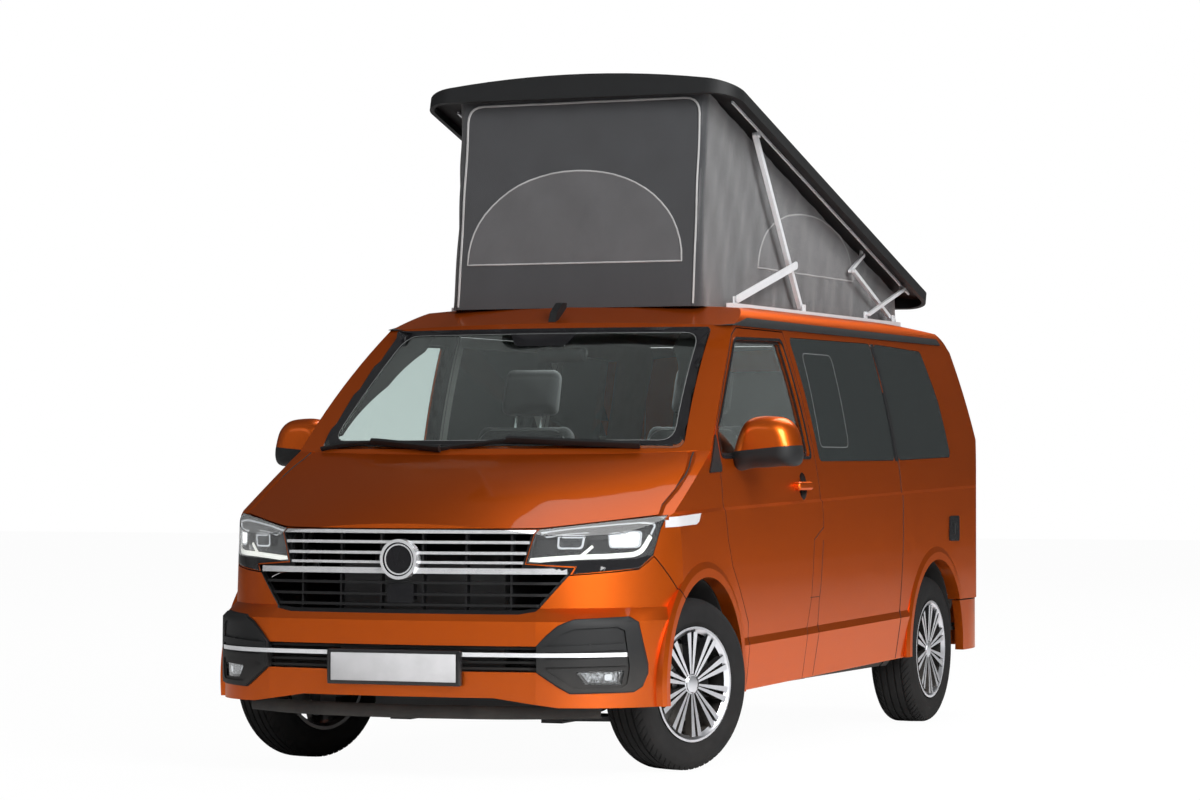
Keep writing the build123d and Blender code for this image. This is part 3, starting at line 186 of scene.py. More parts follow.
def makeRubber(name, colour):
    made, tree, shader = material(name, colour, 0.85, Specular_IOR_Level=0.08)
    lowDustAndShade(tree, shader, varied(tree, shader, colour, 0.25, 25.0), 0.22, 0.9, (0.07, 0.066, 0.06))
    bump(tree, shader, place(tree, "grain", Scale=500.0), 0.25, 0.0005)
    return made


def makeGlass(name, colour, transmission, roughness=0.004):
    made, tree, shader = material(
        name, colour, roughness, Transmission_Weight=transmission, IOR=1.33,
        Coat_Weight=0.1, Coat_Roughness=0.02)
    haze = mathNode(tree, "MULTIPLY", noiseNode(tree, 5.0), 0.012)
    feed(tree, mathNode(tree, "ADD", haze, roughness), shader.inputs["Roughness"])
    return made


def makeMetal(name, colour, roughness, brushed=0.0, metallic=1.0):
    made, tree, shader = material(name, colour, roughness, metallic)
    scratches = mathNode(tree, "MULTIPLY", noiseNode(tree, 160.0 if brushed else 20.0, 3.0), 0.12 + brushed)
    feed(tree, mathNode(tree, "ADD", scratches, roughness - 0.06), shader.inputs["Roughness"])
    varied(tree, shader, colour, 0.06, 30.0)
    return made


def makeCloth(name, colour, threads, strength=0.5, sheen=0.3):
    made, tree, shader = material(name, colour, 0.9, Sheen_Weight=sheen, Sheen_Roughness=0.5)
    varied(tree, shader, colour, 0.2, 7.0, 5.0)
    bump(tree, shader, place(tree, "weave", Threads=threads), strength, 0.0012)
    return made


def makeGlow(name, colour, strength):
    # lit guide over a milky body, a little uneven along its length
    made, tree, shader = material(name, (0.8, 0.8, 0.78), 0.3, Emission_Strength=strength)
    dim = tuple(c * 0.75 for c in colour) + (1,)
    feed(tree, mixColour(tree, noiseNode(tree, 60.0), dim, (*colour, 1)), shader.inputs["Emission Color"])
    return made


def makeFacets(name, colour):
    # small mirror facets, each painted darker towards its edge as shade between the facets
    made, tree, shader = material(name, colour, 0.12, 1.0)
    cells = cellsNode(tree, 70.0)
    bump(tree, shader, cells, 0.9, 0.01)
    # painted shade: darker towards the edge of each facet
    feed(tree, mixColour(tree, cells, (*colour, 1), (0.1, 0.1, 0.1, 1)), shader.inputs["Base Color"])
    return made


finishes = {
    # copper paint: base colour, brighter flake colour, and the darker colour of the painted shade low on the
    # body
    "paint": makePaint("copperPaint", (0.50, 0.082, 0.006), (0.72, 0.22, 0.045), (0.30, 0.110, 0.050)),
    "plastic": makePlastic("grainedPlastic", (0.0034, 0.0038, 0.0043), 0.62, 900.0, 0.35),
    "gloss": makePlastic("glossBlack", (0.008, 0.008, 0.009), 0.12, 300.0, 0.02),
    # the underbody coat, also used as painted shade in shut lines, seams and the handle recess
    "under": makePlastic("underbodyCoatAndGapShade", (0.012, 0.012, 0.012), 0.8, 300.0, 0.6),
    "trim": makePlastic("cabinTrim", (0.028, 0.029, 0.031), 0.6, 1100.0, 0.4),
    "kitchen": makePlastic("kitchenLaminate", (0.16, 0.165, 0.165), 0.4, 1500.0, 0.1),
    "lining": makePlastic("cabinLining", (0.24, 0.245, 0.235), 0.75, 1500.0, 0.1),
    "greyLine": makePlastic("greySealLine", (0.11, 0.115, 0.115), 0.4, 900.0, 0.1),
    "mirrorGlass": makeMetal("mirrorSilver", (0.80, 0.83, 0.84), 0.07),
    "glass": makeGlass("tintedGlass", (0.74, 0.82, 0.80), 1.0),
    "darkGlass": makeGlass("privacyGlass", (0.030, 0.036, 0.036), 0.5),
    "lens": makeGlass("clearLens", (0.93, 0.95, 0.96), 0.98, 0.002),
    "lampGlass": makePlastic("moduleGlass", (0.05, 0.055, 0.06), 0.08, 200.0, 0.02),
    "glow": makeGlow("guideGlow", (0.96, 0.95, 0.86), 0.85),
    "beam": makeGlow("beamGlow", (1.0, 1.0, 0.97), 1.6),
    "facets": makeFacets("lampFacets", (0.62, 0.63, 0.64)),
    "plate": makePlastic("blankPlateFace", (0.42, 0.42, 0.43), 0.35, 700.0, 0.05),
    "satin": makeMetal("satinStrip", (0.50, 0.50, 0.51), 0.30, 0.0, 0.25),
    "chrome": makeMetal("brightChrome", (0.90, 0.91, 0.93), 0.16, 0.0, 0.78),
    "grilleBlack": makePlastic("grilleBlack", (0.004, 0.004, 0.0045), 0.42, 900.0, 0.1),
    "alloy": makeMetal("extrudedAlloy", (0.68, 0.69, 0.71), 0.34, 0.05, 0.35),
    "wheel": makeMetal("turnedAlloy", (0.60, 0.61, 0.64), 0.30, 0.05),
    "chassis": makeMetal("chassisSteel", (0.045, 0.045, 0.046), 0.6, 0.0, 0.6),
    "tailRed": makePlastic("tailLampRed", (0.35, 0.012, 0.012), 0.12, 200.0, 0.1),
    "tent": makeCloth("tentCloth", (0.0160, 0.0173, 0.0198), 2600.0),
    "seat": makeCloth("seatCloth", (0.020, 0.022, 0.024), 2000.0),
    "tyre": makeRubber("tyreRubber", (0.0095, 0.0095, 0.0100)),
    "wheelBlack": makePlastic("wheelPocketBlack", (0.010, 0.010, 0.011), 0.22, 400.0, 0.03),
    "disc": makeMetal("brakeDiscSteel", (0.32, 0.31, 0.30), 0.42, 0.15),
    "tentMesh": makeCloth("tentMeshPanel", (0.055, 0.055, 0.058), 3600.0, 0.6, 0.2),
    "piping": makeCloth("tentPiping", (0.24, 0.24, 0.24), 1800.0, 0.3, 0.1),
}

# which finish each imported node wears; the panels, fixed panes, pop-top, bars and rims come later
nodeFinish = {
    "paint": ("mirror_left", "mirror_right"),
    "plastic": ("bumper_trim", "roof_rails", "antenna"),
    "grilleBlack": ("grille",),
    "gloss": ("headlamps",),
    "lens": ("lamp_lenses",),
    "glass": ("door_window_left", "door_window_right"),
    "darkGlass": ("sliding_window", "tailgate_window"),
    "tailRed": ("tail_lamps",),
    "alloy": ("roof_frame", "shell_rails", "roof_struts", "roof_levers",
        "rear_arms", "rear_stays", "rear_links"),
    "under": ("floor_pan",),
    "trim": ("dashboard", "steering_wheel", "seat_bases"),
    "kitchen": ("kitchen_unit",),
    "seat": ("front_seats", "rear_bench"),
    "tent": ("tent",),
    "chassis": ("engine", "front_axle", "rear_axle", "knuckle_left", "knuckle_right"),
    "tyre": ("tyre_front_left", "tyre_front_right", "tyre_rear_left", "tyre_rear_right"),
}


def wear(mesh, *keys):
    # the mesh's materials, in this order
    mesh.materials.clear()
    for key in keys:
        mesh.materials.append(finishes[key])


for key, names in nodeFinish.items():
    for name in names:
        wear(nodes[name].data, key)


def splitFinish(name, keys, choose):
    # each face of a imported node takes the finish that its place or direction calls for
    mesh = nodes[name].data
    wear(mesh, *keys)
    for face in mesh.polygons:
        face.material_index = choose(face)


# upward direction of the sloping roof shell, how near to it its skin faces, and where dark panes begin
shellTilt, shellFacing, darkFrom = math.radians(-16), 0.6, -0.6
shellLean = Vector((0, math.sin(shellTilt), math.cos(shellTilt)))
# the round badge, blank, in the middle of the grille
badge = {"z": 0.837, "gloss": 0.0655, "front": -2.25, "ringOuter": 0.0596, "ringInner": 0.054}
splitFinish("fixed_glass", ("glass", "darkGlass"), lambda face: int(face.center.y > darkFrom))
splitFinish("pop_top", ("plastic", "paint"), lambda face: int(face.normal.dot(shellLean) > shellFacing))
splitFinish(
    "bright_bars", ("chrome", "gloss"),
    lambda face: int(
        math.hypot(face.center.x, face.center.z - badge["z"]) < badge["gloss"]
        and face.center.y < badge["front"]))
print("finishes made")

# how far laid-on trim stands off what carries it
hair, film, thin, proud = 0.0002, 0.0003, 0.0004, 0.0005
hands = (("left", 1), ("right", -1))
# planes where laid-on paths are drawn, before they are moved along their view onto the skin
screenY, noseY, tailY, flankX = -1.2, -2.6, 2.6, 0.9


def clear():
    bpy.ops.object.select_all(action="DESELECT")


def pick(piece):
    clear()
    bpy.context.view_layer.objects.active = piece
    piece.select_set(True)


def settle(piece, key, body="root", smooth=50.0):
    # place into the mesh, finish, shading and body
    pick(piece)
    bpy.ops.object.transform_apply(location=True, rotation=True, scale=True)
    wear(piece.data, key)
    bpy.ops.object.shade_smooth_by_angle(angle=math.radians(smooth))
    piece.select_set(False)
    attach(piece, body)
    return piece


def modify(piece, kind, **values):
    modifier = piece.modifiers.new(kind.lower(), kind)
    for label, value in values.items():
        setattr(modifier, label, value)
    pick(piece)
    bpy.ops.object.modifier_apply(modifier=modifier.name)
    return piece


def added(name):
    # the mesh that was just added, under its own name
    piece = bpy.context.object
    piece.name = name
    return piece


def block(name, centre, size, edge, turn=(0, 0, 0), segments=3):
    clear()
    bpy.ops.mesh.primitive_cube_add(
        size=1, location=centre, rotation=[math.radians(a) for a in turn], scale=size)
    piece = added(name)
    bpy.ops.object.transform_apply(location=False, rotation=False, scale=True)
    return modify(piece, "BEVEL", width=edge, segments=segments, limit_method="NONE")


def rod(name, spot, axis, radius, depth, sides, edge, segments=3):
    clear()
    bpy.ops.mesh.primitive_cylinder_add(
        vertices=sides, radius=radius, depth=depth, location=spot,
        rotation=axis.to_track_quat("Z", "Y").to_euler())
    return modify(added(name), "BEVEL", width=edge, segments=segments, limit_method="ANGLE")


def joined(name, pieces):
    clear()
    for piece in pieces:
        piece.select_set(True)
    bpy.context.view_layer.objects.active = pieces[0]
    bpy.ops.object.join()
    pieces[0].name = name
    return pieces[0]


def linked(name, mesh):
    piece = bpy.data.objects.new(name, mesh)
    bpy.context.scene.collection.objects.link(piece)
    return piece


def pieceOf(name, made):
    # what was built in mesh code, as an object of the scene
    mesh = bpy.data.meshes.new(name)
    made.to_mesh(mesh)
    made.free()
    return linked(name, mesh)


def mirrorCopy(piece, name):
    # the same piece on the other side, with its own mesh
    copy = linked(name, piece.data.copy())
    copy.data.transform(Matrix.Scale(-1, 4, (1, 0, 0)))
    copy.data.flip_normals()
    return copy


def skinOf(*meshes):
    # ray and nearest-point lookup
    verts, faces = [], []
    for mesh in meshes:
        base = len(verts)
        verts.extend(v.co.copy() for v in mesh.vertices)
        faces.extend([base + i for i in p.vertices] for p in mesh.polygons)
    return BVHTree.FromPolygons(verts, faces)


def surfaceOf(*names):
    return skinOf(*(nodes[name].data for name in names))


def resample(points, step, closed):
    points = [Vector(p) for p in points]
    if closed:
        points = points + [points[0]]
    found = []
    for first, second in zip(points, points[1:]):
        count = max(1, round((second - first).length / step))
        found.extend(first.lerp(second, i / count) for i in range(count))
    if not closed:
        found.append(points[-1])
    return found


def rounded(points, radius, closed=True):
    # corners of a polyline turned into short curves
    points = [Vector(p) for p in points]
    found, steps = [], 5
    last = len(points) - 1
    for i, corner in enumerate(points):
        if not closed and i in (0, last):
            found.append(corner)
            continue
        before, after = points[i - 1] - corner, points[(i + 1) % len(points)] - corner
        reach = min(radius, before.length * 0.45, after.length * 0.45)
        start, end = corner + before.normalized() * reach, corner + after.normalized() * reach
        for k in range(steps + 1):
            t = k / steps
            found.append(start * (1 - t) ** 2 + corner * 2 * t * (1 - t) + end * t ** 2)
    return found


def inset(outline, amounts):
    # each side of an outline moved inwards by its own distance, or all by one; outwards below zero
    points = [Vector(p) for p in outline]
    count = len(points)
    if not isinstance(amounts, (list, tuple)):
        amounts = [amounts] * count
    area = sum(p.x * q.y - q.x * p.y for p, q in zip(points, points[1:] + points[:1]))
    lines = []
    for i, point in enumerate(points):
        along = (points[(i + 1) % count] - point).normalized()
        inward = Vector((-along.y, along.x)) * math.copysign(1, area)
        lines.append((point + inward * amounts[i], along))
    found = []
    for i in range(count):
        (p, d), (q, e) = lines[i - 1], lines[i]
        cross = d.x * e.y - d.y * e.x
        found.append(q if abs(cross) < 1e-6 else p + d * (((q - p).x * e.y - (q - p).y * e.x) / cross))
    return found


def flipped(sign, points):
    return [(sign * x, z) for x, z in points]


def swept(made, rings, closed):
    # a skin over matching rings of vertices
    size = len(rings[0])
    for first, second in list(zip(rings, rings[1:])) + ([(rings[-1], rings[0])] if closed else []):
        for k in range(size):
            made.faces.new((first[k], first[(k + 1) % size], second[(k + 1) % size], second[k]))
    if not closed:
        made.faces.new(rings[0])
        made.faces.new(list(reversed(rings[-1])))
    bmesh.ops.recalc_face_normals(made, faces=made.faces)


# across, up and line of sight of each straight view
views = {
    "front": ((1, 0, 0), (0, 0, 1), (0, 1, 0)), "back": ((1, 0, 0), (0, 0, 1), (0, -1, 0)),
    "left": ((0, 1, 0), (0, 0, 1), (-1, 0, 0)), "right": ((0, 1, 0), (0, 0, 1), (1, 0, 0))}


def ribbon(
        name, points, width, height, surface=None, view=None, lift=0.0, step=0.02,
        closed=False, flat=(0, 0, 1)):
    # a low strip along a path; its sunk foot lies on the surface, found along the view or nearest by
    ray = Vector(views[view][2]) if view else None
    landed = []
    for point in resample(points, step, closed):
        hit = None
        if surface and ray:
            hit, normal = surface.ray_cast(point - ray * 0.5, ray)[:2]
        elif surface:
            hit, normal = surface.find_nearest(point)[:2]
        if not hit:
            landed.append((point, Vector(flat)))
            continue
        landed.append((hit, -normal if ray and normal.dot(ray) > 0 else normal))
    made = bmesh.new()
    rings = []
    last = len(landed) - 1
    for i, (point, normal) in enumerate(landed):
        ahead = landed[(i + 1) % len(landed)][0] if closed or i < last else point
        behind = landed[i - 1][0] if closed or i > 0 else point
        side = (ahead - behind).normalized().cross(normal).normalized()
        base = point + normal * lift
        half, crown = side * width / 2, side * width * 0.32
        low, brim, top = base - normal * 0.0015, base + normal * height * 0.6, base + normal * height
        rings.append([made.verts.new(v) for v in (
            low - half, brim - half, top - crown, top + crown, brim + half, low + half)])
    swept(made, rings, closed)
    return pieceOf(name, made)


def land(surface, view, first, second):
    # where a line of sight meets a surface, and the way the surface faces there
    across, up, ray = (Vector(v) for v in views[view])
    hit, normal = surface.ray_cast(across * first + up * second - ray * 5, ray)[:2]
    if hit and normal.dot(ray) > 0:
        normal = -normal
    return hit, normal


def drape(made, name, view, surface, lift, thick):
    # a flat mesh laid on the surface along the line of sight, then given its thickness
    across, up, ray = (Vector(v) for v in views[view])
    landed, missed = [], []
    for vert in made.verts:
        hit, normal = land(surface, view, vert.co.x, vert.co.y)
        if hit:
            landed.append((vert, hit, normal, vert.co.copy()))
        else:
            missed.append(vert)
    for vert in missed:
        near = min(landed, key=lambda entry: (entry[3] - vert.co).length)
        spot = across * vert.co.x + up * vert.co.y + ray * near[1].dot(ray)
        landed.append((vert, spot, near[2], vert.co.copy()))
    for vert, spot, normal, _ in landed:
        vert.co = spot + normal * lift
    for face in made.faces:
        face.normal_update()
        if face.normal.dot(ray) > 0:
            face.normal_flip()
    return modify(pieceOf(name, made), "SOLIDIFY", thickness=thick, offset=1)


def patch(name, view, outline, surface, lift, thick, cell):
    # an outline filled with a grid and laid on the surface
    made = bmesh.new()
    made.faces.new([made.verts.new((p[0], p[1], 0)) for p in outline])
    bmesh.ops.triangulate(made, faces=made.faces[:])
    for axis in (0, 1):
        low, high = min(p[axis] for p in outline), max(p[axis] for p in outline)
        count = max(2, math.ceil((high - low) / cell))
        for k in range(1, count):
            spot, normal = Vector((0, 0, 0)), Vector((0, 0, 0))
            spot[axis], normal[axis] = low + (high - low) * k / count, 1
            bmesh.ops.bisect_plane(
                made, geom=made.verts[:] + made.edges[:] + made.faces[:], dist=1e-6,
                plane_co=spot, plane_no=normal)
    bmesh.ops.remove_doubles(made, verts=made.verts, dist=1e-5)
    return drape(made, name, view, surface, lift, thick)


def band(name, view, outer, inner, surface, lift, thick, step=0.025):
    # the closed strip between two outlines whose corners match
    pairs = [(Vector(o), Vector(i)) for o, i in zip(outer, inner)]
    made = bmesh.new()
    rings = []
    for first, second in zip(pairs, pairs[1:] + pairs[:1]):
        count = max(1, round((second[0] - first[0]).length / step))
        for k in range(count):
            o, i = (first[side].lerp(second[side], k / count) for side in (0, 1))
            rings.append([made.verts.new((p.x, p.y, 0)) for p in (o, o.lerp(i, 0.5), i)])
    for first, second in zip(rings, rings[1:] + rings[:1]):
        for k in (0, 1):
            made.faces.new((first[k], first[k + 1], second[k + 1], second[k]))
    return drape(made, name, view, surface, lift, thick)


def frameOf(name, view, outline, outer, inner, surface, lift, thick, key, body="root"):
    # a strip round an outline: its outer and its inner edge are each an inset and a corner radius
    edges = [rounded(inset(outline, amounts), bend) for amounts, bend in (outer, inner)]
    settle(band(name, view, *edges, surface, lift, thick), key, body)


def lay(name, view, outline, surface, lift, thick, key, body="root", cell=0.03):
    settle(patch(name, view, outline, surface, lift, thick, cell), key, body)


panels = (
    "body_shell", "front_door_left", "front_door_right", "sliding_door", "tailgate", "bonnet", "front_bumper",
    "rear_bumper")
bodySkin = surfaceOf(
    *panels, "floor_pan", "fixed_glass", "door_window_left", "door_window_right", "sliding_window",
    "tailgate_window", "bumper_trim", "grille", "headlamps", "tail_lamps")


# how far a face looks and leans, the width of a shut line, and where cabin faces and the wing walls begin
look = {"reach": 3.0, "lean": 0.7, "gap": 0.06, "doorCabin": 0.5, "cabin": 1.0,
        "wingBack": -1.42, "wingFoot": 0.95}


def lookSplit(name):
    # faces open to the outside take the paint, faces in a shut line take the dark coat as painted shade in the
    # gap, and faces of the cabin take their trim or lining
    mesh = nodes[name].data
    door = "door_" in name
    wear(mesh, "paint", "under", "trim" if door else "lining")
    outside, gapShade, cabin = range(3)
    for face in mesh.polygons:
        normal, centre = face.normal, face.center
        side = normal.orthogonal().normalized()
        leans = [lean * look["lean"] for lean in (side, -side, normal.cross(side), -normal.cross(side))]
        start = centre + normal * 0.001
        wayOut = bodySkin.ray_cast(start, normal, look["reach"])[0] is None
        reaches = []
        for lean in [normal] + [normal + lean for lean in leans]:
            hit, _, _, far = bodySkin.ray_cast(start, lean.normalized(), look["reach"])
            if hit:
                reaches.append(far)
        inward = normal.x * centre.x < -0.3 * abs(centre.x)
        if inward and centre.z > look["doorCabin" if door else "cabin"]:
            face.material_index = cabin
        elif wayOut or len(reaches) < 4:
            face.material_index = outside
        # faces in a shut line are painted dark: painted shade in the gap
        elif sorted(reaches)[1] < look["gap"]:
            # the slanted walls beside the bonnet stay painted
            painted = name == "bonnet" or centre.y < look["wingBack"] and centre.z > look["wingFoot"]
            face.material_index = outside if painted else gapShade
        else:
            face.material_index = cabin


for name in panels:
    lookSplit(name)
print("panels dressed")

# outlines of the panes: x and z of the windscreen, y and z of the side ones
glassSkin = surfaceOf("fixed_glass")
screen = ((-0.803, 1.262), (-0.700, 1.768), (0.700, 1.768), (0.803, 1.262))
doorWindow = ((-1.330, 1.235), (-1.330, 1.326), (-1.120, 1.515), (-0.875, 1.712),
              (-0.300, 1.722), (-0.250, 1.235))
slidePane = ((-0.092, 1.275), (-0.065, 1.680), (0.322, 1.680), (0.293, 1.275))


def makeScreenTrim():
    clearEdge = ((0.042, 0.024, 0.042, 0.034), 0.060)
    frameOf("screenFrit", "front", screen, (0.001, 0.010), clearEdge, glassSkin, film, 0.0006, "gloss")
    line = [(p.x, screenY, p.y) for p in rounded(inset(screen, clearEdge[0]), clearEdge[1])]
    settle(ribbon("screenFritEdge", line, 0.0035, 0.0007, glassSkin, "front", thin, closed=True), "greyLine")
    sensor = rounded(((-0.165, 1.758), (0.150, 1.758), (0.128, 1.690), (-0.096, 1.690)), 0.02)
    lay("screenSensorCover", "front", sensor, glassSkin, film, 0.0006, "gloss")
    skin = surfaceOf("fixed_glass", "body_shell", "bonnet")
    for name, points in (
            ("wiperRight",
             ((-0.790, 1.258), (-0.681, 1.276), (-0.549, 1.284), (-0.403, 1.272), (-0.198, 1.252))),
            ("wiperLeft",
             ((-0.218, 1.256), (-0.076, 1.272), (0.069, 1.290), (0.305, 1.279), (0.633, 1.266)))):
        path = rounded([(x, screenY, z) for x, z in points], 0.08, False)
        blade = ribbon(name + "Blade", path, 0.013, 0.016, skin, "front", 0.001)
        arm = ribbon(name + "Arm", path[len(path) // 2:], 0.020, 0.024, skin, "front", 0.006)
        settle(joined(name, [blade, arm]), "plastic")


makeScreenTrim()


def makeSideTrim():
    # the right side has an open slot under the joint and the seam: they are laid on the left and mirrored
    cover = ((0.922, 1.2165), (0.9385, 1.7500), (0.987, 1.7500), (0.978, 1.2175))
    flank = [(flankX, y, z) for y, z in (
        (0.950, 1.735), (0.948, 1.500), (0.952, 1.212), (0.969, 1.212), (0.962, 1.039), (0.944, 0.834),
        (0.912, 0.630), (0.878, 0.404), (0.860, 0.306))]
    bonnetEdge = (
        (0.845, -1.478, 1.249), (0.852, -1.523, 1.225), (0.869, -1.590, 1.193), (0.877, -1.655, 1.158),
        (0.872, -1.741, 1.115), (0.869, -1.818, 1.077), (0.869, -1.894, 1.039), (0.876, -1.954, 1.009))
    # the seam and the bonnet edge ribbons are dark lines laid on the paint: painted shade of the gaps
    for key, other, piece in (
            ("gloss", "paneJointRight", patch("paneJointLeft", "left", cover, bodySkin, film, 0.0012, 0.04)),
            ("under", "flankSeamShadeRight",
             ribbon("flankSeamShadeLeft", flank, 0.0045, 0.0014, bodySkin, "left", hair)),
            ("under", "bonnetGapShadeRight", ribbon(
                "bonnetGapShadeLeft", bonnetEdge, 0.006, 0.0012, surfaceOf("body_shell"), lift=hair))):
        settle(mirrorCopy(piece, other), key)
        settle(piece, key)
    for hand, sign in hands:
        label, door, body = hand.title(), "front_door_" + hand, "door_" + hand
        frameOf(
            "doorSeal" + label, hand, doorWindow, (-0.013, 0.035), (-0.0005, 0.028),
            surfaceOf(door), film, 0.0025,
            "gloss", body)
        frameOf(
            "doorPaneEdge" + label, hand, doorWindow, (-0.007, 0.028), (0.010, 0.028),
            surfaceOf("door_window_" + hand), thin, 0.003, "plastic", body)
        corner = ((-1.372, 1.322), (-1.366, 1.170), (-1.500, 1.166))
        flap = ((1.655, 0.840), (1.664, 0.958), (1.822, 0.958), (1.815, 0.838))
        latch = ((1.728, 0.872), (1.731, 0.925), (1.750, 0.925), (1.748, 0.872))
        for name, outline, bend, skin, lift, thick, key in (
                ("mirrorFoot", corner, 0.010, surfaceOf("body_shell", door), proud, 0.006, "plastic"),
                ("serviceFlap", flap, 0.018, bodySkin, thin, 0.004, "gloss"),
                ("serviceLatch", latch, 0.006, bodySkin, 0.0044, 0.003, "plastic")):
            lay(name + label, hand, rounded(outline, bend), skin, lift, thick, key)
        line = [(sign * flankX, p.x, p.y) for p in rounded(slidePane, 0.040)]
        pane = surfaceOf("fixed_glass" if hand == "left" else "sliding_window")
        settle(
            ribbon("slidingPaneLine" + label, line, 0.003, 0.0006, pane, hand, film, closed=True), "greyLine")
    # dark lines on the pillar: painted shade of the seams
    pillar = ((-0.176, 0.878), (-0.218, 0.666), (-0.232, 0.632), (-0.250, 0.488), (-0.284, 0.307))
    for name, points, width in (
            ("pillarSeamShadeLeft", pillar, 0.0045),
            ("pillarJointShadeLeft", ((-0.349, 0.638), (-0.236, 0.638)), 0.003)):
        path = [(flankX, y, z) for y, z in points]
        settle(ribbon(name, path, width, 0.0006, bodySkin, "left", hair), "under")


makeSideTrim()


def makeMirror(hand, sign):
    # painted cap over a black base, cut along the line between them
    label = hand.title()
    made = bmesh.new()
    made.from_mesh(nodes["mirror_" + hand].data)
    bmesh.ops.remove_doubles(made, verts=made.verts, dist=1e-5)
    spot = Vector((sign * 0.895, 0, 1.250))
    across = Vector((-sign * 0.026, 0, 0.274)).normalized()
    bmesh.ops.bisect_plane(
        made, geom=made.verts[:] + made.edges[:] + made.faces[:], dist=1e-6, plane_co=spot, plane_no=across)
    bmesh.ops.recalc_face_normals(made, faces=made.faces)
    piece = settle(pieceOf("mirrorHousing" + label, made), "paint", "door_" + hand, 35.0)
    mesh = piece.data
    mesh.materials.append(finishes["plastic"])
    stalk, glassFacing = 0.900, 0.8
    for face in mesh.polygons:
        above = (face.center - spot).dot(across) > 0
        painted = above and abs(face.center.x) > stalk and face.normal.y < glassFacing
        face.material_index = 0 if painted else 1
    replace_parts(piece, "mirror_" + hand)
    glassEdge = rounded(flipped(sign, (
        (0.925, 1.215), (0.930, 1.285), (0.960, 1.345), (1.010, 1.365), (1.095, 1.360), (1.140, 1.320),
        (1.150, 1.250), (1.135, 1.215))), 0.03)
    lay("mirrorGlass" + label, "back", glassEdge, skinOf(mesh), 0.002, 0.002, "mirrorGlass", "door_" + hand)


for hand, sign in hands:
    makeMirror(hand, sign)
print("window and mirror trim made")


lampSkin = surfaceOf("lamp_lenses")


def makeHeadlamp(hand, sign):
    label = hand.title()

    def strip(name, points, width, lift, bend=0.012):
        path = rounded([(x, noseY, z) for x, z in flipped(sign, points)], bend, False)
        return ribbon(name, path, width, 0.003, lampSkin, "front", lift, 0.010)

    # daylight guide: a glowing bar along the foot of the lamp, turned up at its outer end, with a kick
    guide = strip("guide", (
        (0.508, 0.834), (0.600, 0.842), (0.690, 0.848), (0.785, 0.851), (0.846, 0.856), (0.864, 0.868),
        (0.876, 0.895), (0.886, 0.925)), 0.019, -0.0105, 0.02)
    kick = strip("kick", ((0.688, 0.850), (0.708, 0.869), (0.727, 0.889)), 0.011, -0.0100)
    settle(joined("daylightGuide" + label, [guide, kick]), "glow")
    top = strip("top", (
        (0.545, 0.946), (0.653, 0.963), (0.774, 0.976), (0.860, 0.984), (0.898, 0.975), (0.886, 0.930)),
        0.010, -0.0105, 0.02)
    bright = [top, strip("brow", ((0.552, 0.930), (0.640, 0.941), (0.700, 0.946)), 0.0035, -0.0110)]
    for name, box, key in (
            ("Inner", ((0.610, 0.878), (0.613, 0.936), (0.704, 0.936), (0.696, 0.878)), "lampGlass"),
            ("Outer", ((0.776, 0.881), (0.772, 0.946), (0.866, 0.946), (0.862, 0.881)), "beam")):
        edge = rounded(flipped(sign, box), 0.014)
        rim = rounded(flipped(sign, inset(box, 0.0065)), 0.012)
        bright.append(band("moduleRim", "front", edge, rim, lampSkin, -0.0120, 0.0035, 0.012))
        lay("lampModule" + name + label, "front", rim, lampSkin, -0.0145, 0.002, key, cell=0.012)
    settle(joined("lampBrightwork" + label, bright), "chrome")
    chin = rounded(flipped(sign, (
        (0.505, 0.821), (0.675, 0.812), (0.664, 0.787), (0.752, 0.794), (0.838, 0.806), (0.857, 0.809),
        (0.886, 0.850), (0.880, 0.852), (0.850, 0.840), (0.790, 0.837),
        (0.690, 0.834), (0.600, 0.829))), 0.004)
    lay(
        "lampChin" + label, "front", chin, lampSkin, film, 0.0005, "gloss", cell=0.02)
    # fog lamp: a faceted reflector behind its pane, with a bulb hood
    fog = flipped(sign, ((0.716, 0.414), (0.836, 0.415), (0.826, 0.376), (0.740, 0.378)))
    lay("fogReflector" + label, "front", fog, lampSkin, -0.012, 0.002, "facets", cell=0.01)
    hood = rounded(flipped(sign, ((0.790, 0.408), (0.812, 0.408), (0.812, 0.384), (0.790, 0.384))), 0.008)
    lay("fogBulb" + label, "front", hood, lampSkin, -0.0095, 0.003, "chrome", cell=0.01)


for hand, sign in hands:
    makeHeadlamp(hand, sign)

# frame round each lamp pocket of the bumper, and the two blades inside it
pod = {
    "outer": (
        (0.566, 0.515), (0.603, 0.553), (0.643, 0.588), (0.692, 0.611), (0.848, 0.619), (0.878, 0.600),
        (0.899, 0.443), (0.899, 0.407), (0.887, 0.360), (0.867, 0.342), (0.683, 0.340), (0.640, 0.367),
        (0.566, 0.420)),
    "inner": (
        (0.600, 0.515), (0.626, 0.538), (0.655, 0.562), (0.700, 0.580), (0.826, 0.586), (0.846, 0.572),
        (0.858, 0.443), (0.858, 0.420), (0.852, 0.370), (0.838, 0.358), (0.700, 0.356), (0.664, 0.378),
        (0.600, 0.424)),
    "shelf": ((0.575, 0.492), (0.575, 0.512), (0.846, 0.524), (0.848, 0.500)),
    "lower": ((0.575, 0.436), (0.575, 0.462), (0.850, 0.470), (0.850, 0.440))}


def boxOf(half, low, high):
    return ((-half, low), (-half, high), (half, high), (half, low))


